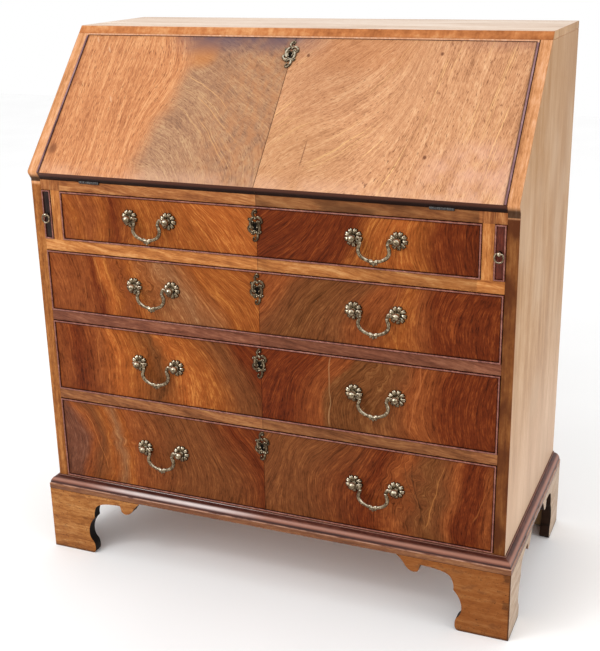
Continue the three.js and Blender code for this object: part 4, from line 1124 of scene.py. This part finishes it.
def scutcheon(name, node, place, metal):
    bm = bmesh.new()
    for row in SCUTCHEON_SCROLLS:
        path = [(a * SCUTCHEON_WIDTH, (b - SCUTCHEON_KEY_SHARE) * SCUTCHEON_HEIGHT, SCROLL_LIFT,
                 SCROLL_BAR_SHARE * r * MM) for a, b, r in row]
        tube(bm, smooth_path(path, 5), 10, 0.6)
        for *end, radius in (path[0], path[-1]):
            ball(bm, end, SCROLL_END_SHARE * radius, 6, 10)
    keyhole(bm, KEYHOLE_RIM)
    piece(name, bm, metal, node, place)
    # A near-black sheet of painted shade fills the keyhole.
    dark = bmesh.new()
    keyhole(dark, KEYHOLE_SHADE_LEVELS)
    piece(name + "_hole_shade", dark, KEYHOLE_SHADE, node, place, stands_for=False)


LOCK_PLATE = [(-32, -16, 0), (32, 22, 2)]
LOCK_SCREWS = [(x, y) for x in (-27, 27) for y in (-11, 17)]
SCREW_PROFILE = [(2.6, -0.2), (2.8, 0.4)]


def lock_case(name, node, place, thickness):
    """The lock's plate and screws behind a front of the given thickness."""
    bm = bmesh.new()
    board(bm, *[(x, y, z - thickness) for x, y, z in in_mm(LOCK_PLATE)])
    for centre in in_mm(LOCK_SCREWS):
        turned(bm, [(radius, height - thickness) for radius, height in in_mm(SCREW_PROFILE)], 16, centre)
    piece(name, bm, BRASS, node, place, EASED["lock"], stands_for=False)


def drawer_brass(number):
    node = f"drawer_{number}"
    for side, first in (("left", 1), ("right", 3)):
        centre = JOINT_AT[f"{node}_bail_{side}_swing"]
        for i, hand in enumerate((-1, 1)):
            name = f"{node}_post_{first + i}"
            post(name + "_brass", name, centre.x + hand * POST_SPACING / 2, centre.z)
        bail(f"{node}_bail_{side}_brass", f"{node}_bail_{side}")
    lock = f"{node}_lock"
    key_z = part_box(lock)[1].z - SCUTCHEON_HEIGHT * (1 - SCUTCHEON_KEY_SHARE)
    scutcheon(lock + "_scutcheon", lock, on_front(0, key_z), BRASS)
    lock_case(lock + "_case", lock, on_front(0, key_z), FRONT_THICKNESS)


def fall_brass():
    key_up = slope_box("fall_lock")[1].y - SCUTCHEON_HEIGHT * (1 - SCUTCHEON_KEY_SHARE)
    place = SLOPE @ Matrix.Translation((0, key_up, FALL_FACE))
    scutcheon("fall_lock_scutcheon", "fall_lock", place, FALL_BRASS)
    lock_case("fall_lock_case", "fall_lock", place, FALL_FACE)


# Lopers with their drop rings

LOPER_KNOB = [(3.6, 0.1), (3.6, 0.7), (2.4, 1.4), (2.0, 3.6), (2.4, 4.6)]
RING_SHARES = [
    (0.3, 0), (0.66, 0), (0.9, -0.12), (1, -0.34), (0.94, -0.6), (0.74, -0.8), (0.42, -0.92), (0, -0.95)]


def loper(label):
    node = "loper_" + label
    lo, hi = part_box(node)
    inset = BEAD_WIDTH + LOPER_BEAD_GAP
    boards(node + "_board", [
        ((lo.x + inset, FRONT_Y, lo.z + inset), (hi.x - inset, FRONT_Y + FACE_THICKNESS, hi.z - inset)),
        ((lo.x, FRONT_Y + FACE_STEP, lo.z), hi)], LOPER_WOODS[label], node, bevel=EASED["loper"])
    cock_bead(node + "_bead", node, lo, hi)
    pivot = JOINT_AT[f"loper_ring_{label}_swing"]
    knob = bmesh.new()
    turned(knob, in_mm(LOPER_KNOB), 20)
    ball(knob, (0, 0, LOPER_KNOB_REACH), LOPER_KNOB_RADIUS, 8, 16)
    piece(node + "_knob", knob, BRASS, node, on_front(pivot.x, pivot.z), stands_for=False)
    ring = bmesh.new()
    arm = [(a * RING_HALF, b * RING_DROP, 0, RING_BAR) for a, b in RING_SHARES]
    tube(ring, smooth_path(mirrored(arm), 4))
    piece(f"loper_ring_{label}_brass", ring, BRASS, f"loper_ring_{label}", on_front(pivot.x, pivot.z, pivot.y))


# The fitted interior

def gallery():
    node = "pigeonhole_gallery"
    lo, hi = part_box(node)
    shelf = lo.z + GALLERY_BOARD + SMALL_DRAWER_HEIGHT
    top = hi.z - GALLERY_BOARD
    pitch = (hi.x - lo.x - GALLERY_BOARD) / 3
    hole = (hi.x - NICHE_WIDTH / 2 - GALLERY_BOARD) / 3
    lefts = [lo.x + i * hole for i in range(4)]
    lefts += [-x - GALLERY_BOARD for x in reversed(lefts)]
    shelves = [((lo.x, lo.y, floor), (hi.x, hi.y, floor + GALLERY_BOARD)) for floor in (lo.z, shelf, top)]
    low = [((left, lo.y, lo.z + GALLERY_BOARD), (left + GALLERY_BOARD, hi.y, shelf))
           for left in (lo.x + i * pitch for i in range(4))]
    high = [((left, lo.y, shelf + GALLERY_BOARD), (left + GALLERY_BOARD, hi.y, top)) for left in lefts]
    boards("gallery_boards", shelves + low + high, INTERIOR_WOOD, node, bevel=EASED["gallery"])
    front = lo.y + VALANCE_SETBACK
    for i, (left, right) in enumerate(zip(lefts, lefts[1:])):
        bm = bmesh.new()
        outline = valance_outline(left + GALLERY_BOARD, right, top)
        skin(bm, [[(x, y, z) for x, z in outline] for y in (front, front + VALANCE_THICKNESS)])
        piece(f"valance_{i + 1}", bm, INTERIOR_WOOD, node, bevel=EASED["valance"])


def valance_outline(start, end, top, steps=20):
    """A valance across one hole, hollowed from its ends to its middle."""
    drop = VALANCE_DROP - GALLERY_BOARD
    arch = []
    for i in range(steps + 1):
        depth = VALANCE_MIDDLE_SHARE + (1 - VALANCE_MIDDLE_SHARE) * abs(2 * i / steps - 1) ** VALANCE_HOLLOW
        arch.append((start + (end - start) * i / steps, top - drop * depth))
    return [(start, top), *arch, (end, top)]


SMALL_KNOB = [(4.5, 0.1), (4.5, 0.6), (2.6, 1.4), (2.2, 3.4), (3.4, 4.8), (5.2, 6.0), (6, 7.8), (5.4, 9.8),
              (3.6, 11.2), (1, 11.8)]


def small_drawer(number):
    node = f"small_drawer_{number}"
    lo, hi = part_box(node)
    front = lo.y + SMALL_KNOB_LENGTH
    boards(node + "_front", [((lo.x, front, lo.z), (hi.x, front + SMALL_FRONT, hi.z))],
           INTERIOR_WOOD, node, bevel=EASED["small_front"])
    top = hi.z - SMALL_TRAY_DROP
    lap = SMALL_WALL - TRAY_TONGUE
    inside = front + SMALL_FRONT
    sides = [((start, inside - SMALL_SIDE_LAP, lo.z), (start + SMALL_WALL, hi.y, top))
             for start in (lo.x, hi.x - SMALL_WALL)]
    back_y = hi.y - TRAY_TONGUE
    back = (lo.x + lap, back_y - SMALL_WALL, lo.z + TRAY_TONGUE), (hi.x - lap, back_y, top)
    low, high = SMALL_BOTTOM_LEVELS
    bottom = (lo.x + lap, inside - SMALL_BOTTOM_LAP, lo.z + low), (hi.x - lap, hi.y - SMALL_WALL, lo.z + high)
    boards(node + "_tray", [*sides, back, bottom], LINING_WOOD, node, bevel=EASED["small_tray"])
    knob = bmesh.new()
    turned(knob, in_mm(SMALL_KNOB))
    place = on_front((lo.x + hi.x) / 2, (lo.z + hi.z) / 2, front)
    piece(node + "_knob", knob, KNOB_BRASS, node, place, stands_for=False)


# Floor, lamps and camera; each lamp's place, target, size and power

FLOOR_SIZE = 12
LAMPS = {
    "key": ((-1.6, -2.6, 2.6), (0, 0, 0.6), 2.0, 34),
    "spark": ((-1.15, -1.7, 2.3), (0, -0.2, 0.5), 0.35, 7),
    "fill": ((3.0, -0.6, 1.6), (0, 0, 0.6), 2.0, 15),
}
CAMERA_PLACE = (0.8099, -1.9451, 1.1975)
CAMERA_ANGLES = (70.90, 1.07, 22.52)
CAMERA_LENS = 61.66
CAMERA_SENSOR = 36


def studio():
    bpy.ops.mesh.primitive_plane_add(size=FLOOR_SIZE)
    floor = bpy.context.object
    floor.name = "studio_floor"
    net = Net("studio_floor", Roughness=0.9)
    across, deep, high = net.place()
    paper = net.noise(across / 400, deep / 400, 0.0, 2)
    floor.data.materials.append(net.finish(net.ramp(paper, [(0.3, "fafafa"), (0.7, "fdfdfd")])))
    world = bpy.data.worlds.new("studio_air")
    bpy.context.scene.world = world
    world.use_nodes = True
    background = world.node_tree.nodes["Background"]
    background.inputs["Color"].default_value = (1, 1, 1, 1)
    background.inputs["Strength"].default_value = 1.0
    for name, (spot, target, size, power) in LAMPS.items():
        light = bpy.data.lights.new(name, "AREA")
        light.size = size
        light.energy = power
        turn = (Vector(target) - Vector(spot)).to_track_quat("-Z", "Y").to_euler()
        stand(name, light, spot, turn)


def stand(name, data, spot, turn):
    """Puts a lamp or the camera in the scene."""
    holder = bpy.data.objects.new(name, data)
    holder.location = spot
    holder.rotation_euler = turn
    bpy.context.scene.collection.objects.link(holder)
    return holder


def camera():
    lens = bpy.data.cameras.new("camera")
    lens.sensor_width = CAMERA_SENSOR
    lens.lens = CAMERA_LENS
    turn = [math.radians(angle) for angle in CAMERA_ANGLES]
    bpy.context.scene.camera = stand("camera", lens, CAMERA_PLACE, turn)


carcass()
moulding()
feet()
fall()
fall_brass()
for number in range(1, 5):
    drawer(number)
    drawer_brass(number)
for label in ("left", "right"):
    loper(label)
gallery()
for number in range(1, 4):
    small_drawer(number)
studio()
camera()
bpy.context.scene.view_settings.view_transform = "Standard"
